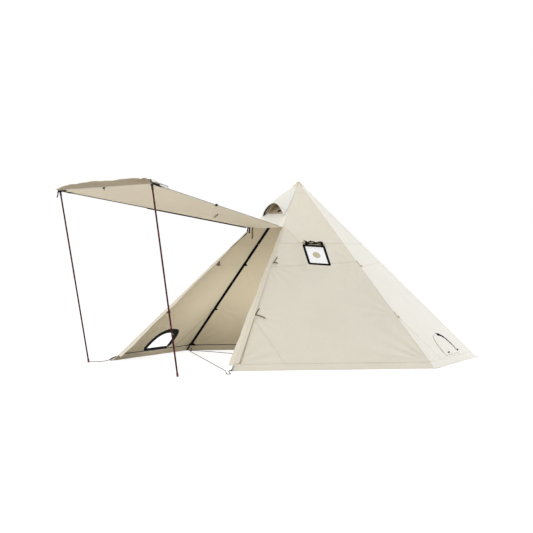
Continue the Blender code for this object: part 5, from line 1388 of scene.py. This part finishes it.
def make_corner_flap():
    """Spare corner of the door, folded back as a puffed cuff along the right edge."""
    v = linspace(0, 1, 15)
    rows = []
    for u in linspace(0, 1, 22):
        reach = AWNING_REACH - 0.004 - 0.305 * u
        tall = (0.058 + 0.006 * sin(11 * u)) * (1 - 0.18 * u) * sin(pi * min(0.5, 0.12 + 4 * (1 - u))) ** 0.5
        inward = 0.006 + 0.085 * (1 - np.cos(pi * v)) / 2 + 0.004 * np.sin(7 * u + 5 * v)
        high = 0.0035 + tall * np.sin(pi * v) ** 0.7 * (1 - 0.35 * v)
        rows.append(on_awning(awning_half(reach) - inward, reach, high))
    # The folded corner's top takes the lighter cream as painted highlight, its underside the painted warm shade
    flap = keep(grid_sheet("awning_corner_flap", rows, [CREAM_TRIM_AND_HIGHLIGHT, UNDERSIDE_SHADE], CLOTH, flip=True), AWNING)
    for kind, inset, off, start, end, count, width, thick, look in (
            ("edge", 0.003, 0.010, 0.01, 2.30, 12, 0.014, 0.0024, WEBBING),
            ("fold", 0.005, 0.026, 0.05, 2.16, 14, 0.006, 0.0030, WEBBING_BROWN)):
        reach = linspace(AWNING_REACH - start, end, count)
        path = on_awning(awning_half(reach) - inset, reach, off)
        ribbon(f"corner_flap_{kind}", path, width, thick, look, (1, -0.2, 0))


def make_ground_fittings():
    """Silver buckle and black bits on the front corner's cord, and the webbing loop at the tensioner."""
    route = smooth_curve([*front_start(), *FRONT_CORD[:4]], 8)
    lengths = np.concatenate([[0], np.cumsum(np.linalg.norm(np.diff(route, axis=0), axis=1))])
    ends = array((0.72, 0.95, 1, 1, 1, 1, 0.95, 0.72))
    for name, near, far, radius, look, slot in (
            ("corner_buckle", 0.004, 0.030, 0.0088, SILVER, "zip_slider"),
            ("cord_lock", 0.075, 0.105, 0.0078, RUBBER, "pole_fitting"),
            ("cord_wrap", 0.125, 0.150, 0.0062, RUBBER, "pole_fitting")):
        spots = linspace(near, far, len(ends))
        path = np.stack([interp(spots, lengths, line) for line in route.T], axis=1)
        tube(name, path + UP * max(0.0, radius - 0.0042), radius * ends, look, 14, ("tent", slot))
    corner = array(skirt_side(-120, 0.030, 0.004, corner=True))
    hook = array(TENSIONER_START)
    loop = smooth_curve([corner, corner * 0.35 + hook * 0.65 + UP * 0.002, hook + array((-0.006, 0.012, -0.012)),
                         corner * 0.5 + hook * 0.5 - UP * 0.012, corner - UP * 0.016], 8)
    loop[:, 2] = np.maximum(loop[:, 2], 0.004)
    ribbon("tensioner_loop", loop, 0.012, 0.002, CANVAS_TRIM, (0.5, 0.3, 0.8), TENT)


def knob_centre(side):
    reach = AWNING_REACH - 0.006 - 0.015
    drop = CLOTH / 2 + SEAT + 0.0014 + SEAT + 0.0125
    return awning_point(side * (awning_half(reach) - 0.015), reach, -drop)


def make_pole_collars():
    """Bright rings where the pole sections meet."""
    for side, word in SIDES:
        top, base = knob_centre(side), array((*POLE_FEET[word], 0.0131))
        axis = (top - base) / np.linalg.norm(top - base)
        span = np.linalg.norm(top - axis * 0.0194 - base)
        for k in range(1, POLE_SECTIONS):
            middle = base + axis * span * k / POLE_SECTIONS
            path = [middle + axis * step for step in (-0.007, -0.005, 0.0, 0.005, 0.007)]
            radii = [POLE_RADIUS + more for more in (0.0002, 0.0009, 0.0010, 0.0009, 0.0002)]
            tube(f"pole_collar_{word}_{k}", path, radii, RED_BRIGHT, 16, (f"awning_pole_{word}", "pole_tube"))
    low = 0.0123
    for k in range(1, POLE_SECTIONS):
        height = low + (PEAK_HEIGHT - 0.018 / LEAN_UP - 0.03 - low) * k / POLE_SECTIONS
        path = [(0, 0, height + step) for step in (-0.010, -0.007, 0.0, 0.007, 0.010)]
        radii = [0.0162, 0.0172, 0.0174, 0.0172, 0.0162]
        tube(f"mast_collar_{k}", path, radii, RED_BRIGHT, 20, ("tent", "pole_tube"))


def dress_nodes():
    """Finishes for the rigid solids that stay as they are."""
    for name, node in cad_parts.items():
        if "_section_" in name:
            look = RED_TUBE
        elif name.startswith("awning_pole") and name.endswith("_foot"):
            look = RED_FOOT
        elif name.startswith(("awning_pole", "centre_pole")):
            look = RUBBER
        elif name.startswith("zip_slider"):
            look = BLACK_METAL
        else:
            continue
        materials = node.data.materials
        if not materials:
            materials.append(look)
        for k in range(len(materials)):
            materials[k] = look


for make in (make_stage, make_cords, make_walls, make_skirts, make_peak_cap, make_hood, make_stove_jack, make_vents,
             make_seam_webbing, make_seams, make_guy_outs, make_corner_backing, make_placket, make_awning,
             make_awning_fittings, make_ground_fittings, make_pole_collars, make_door_edges, dress_nodes):
    make()

bpy.context.view_layer.update()
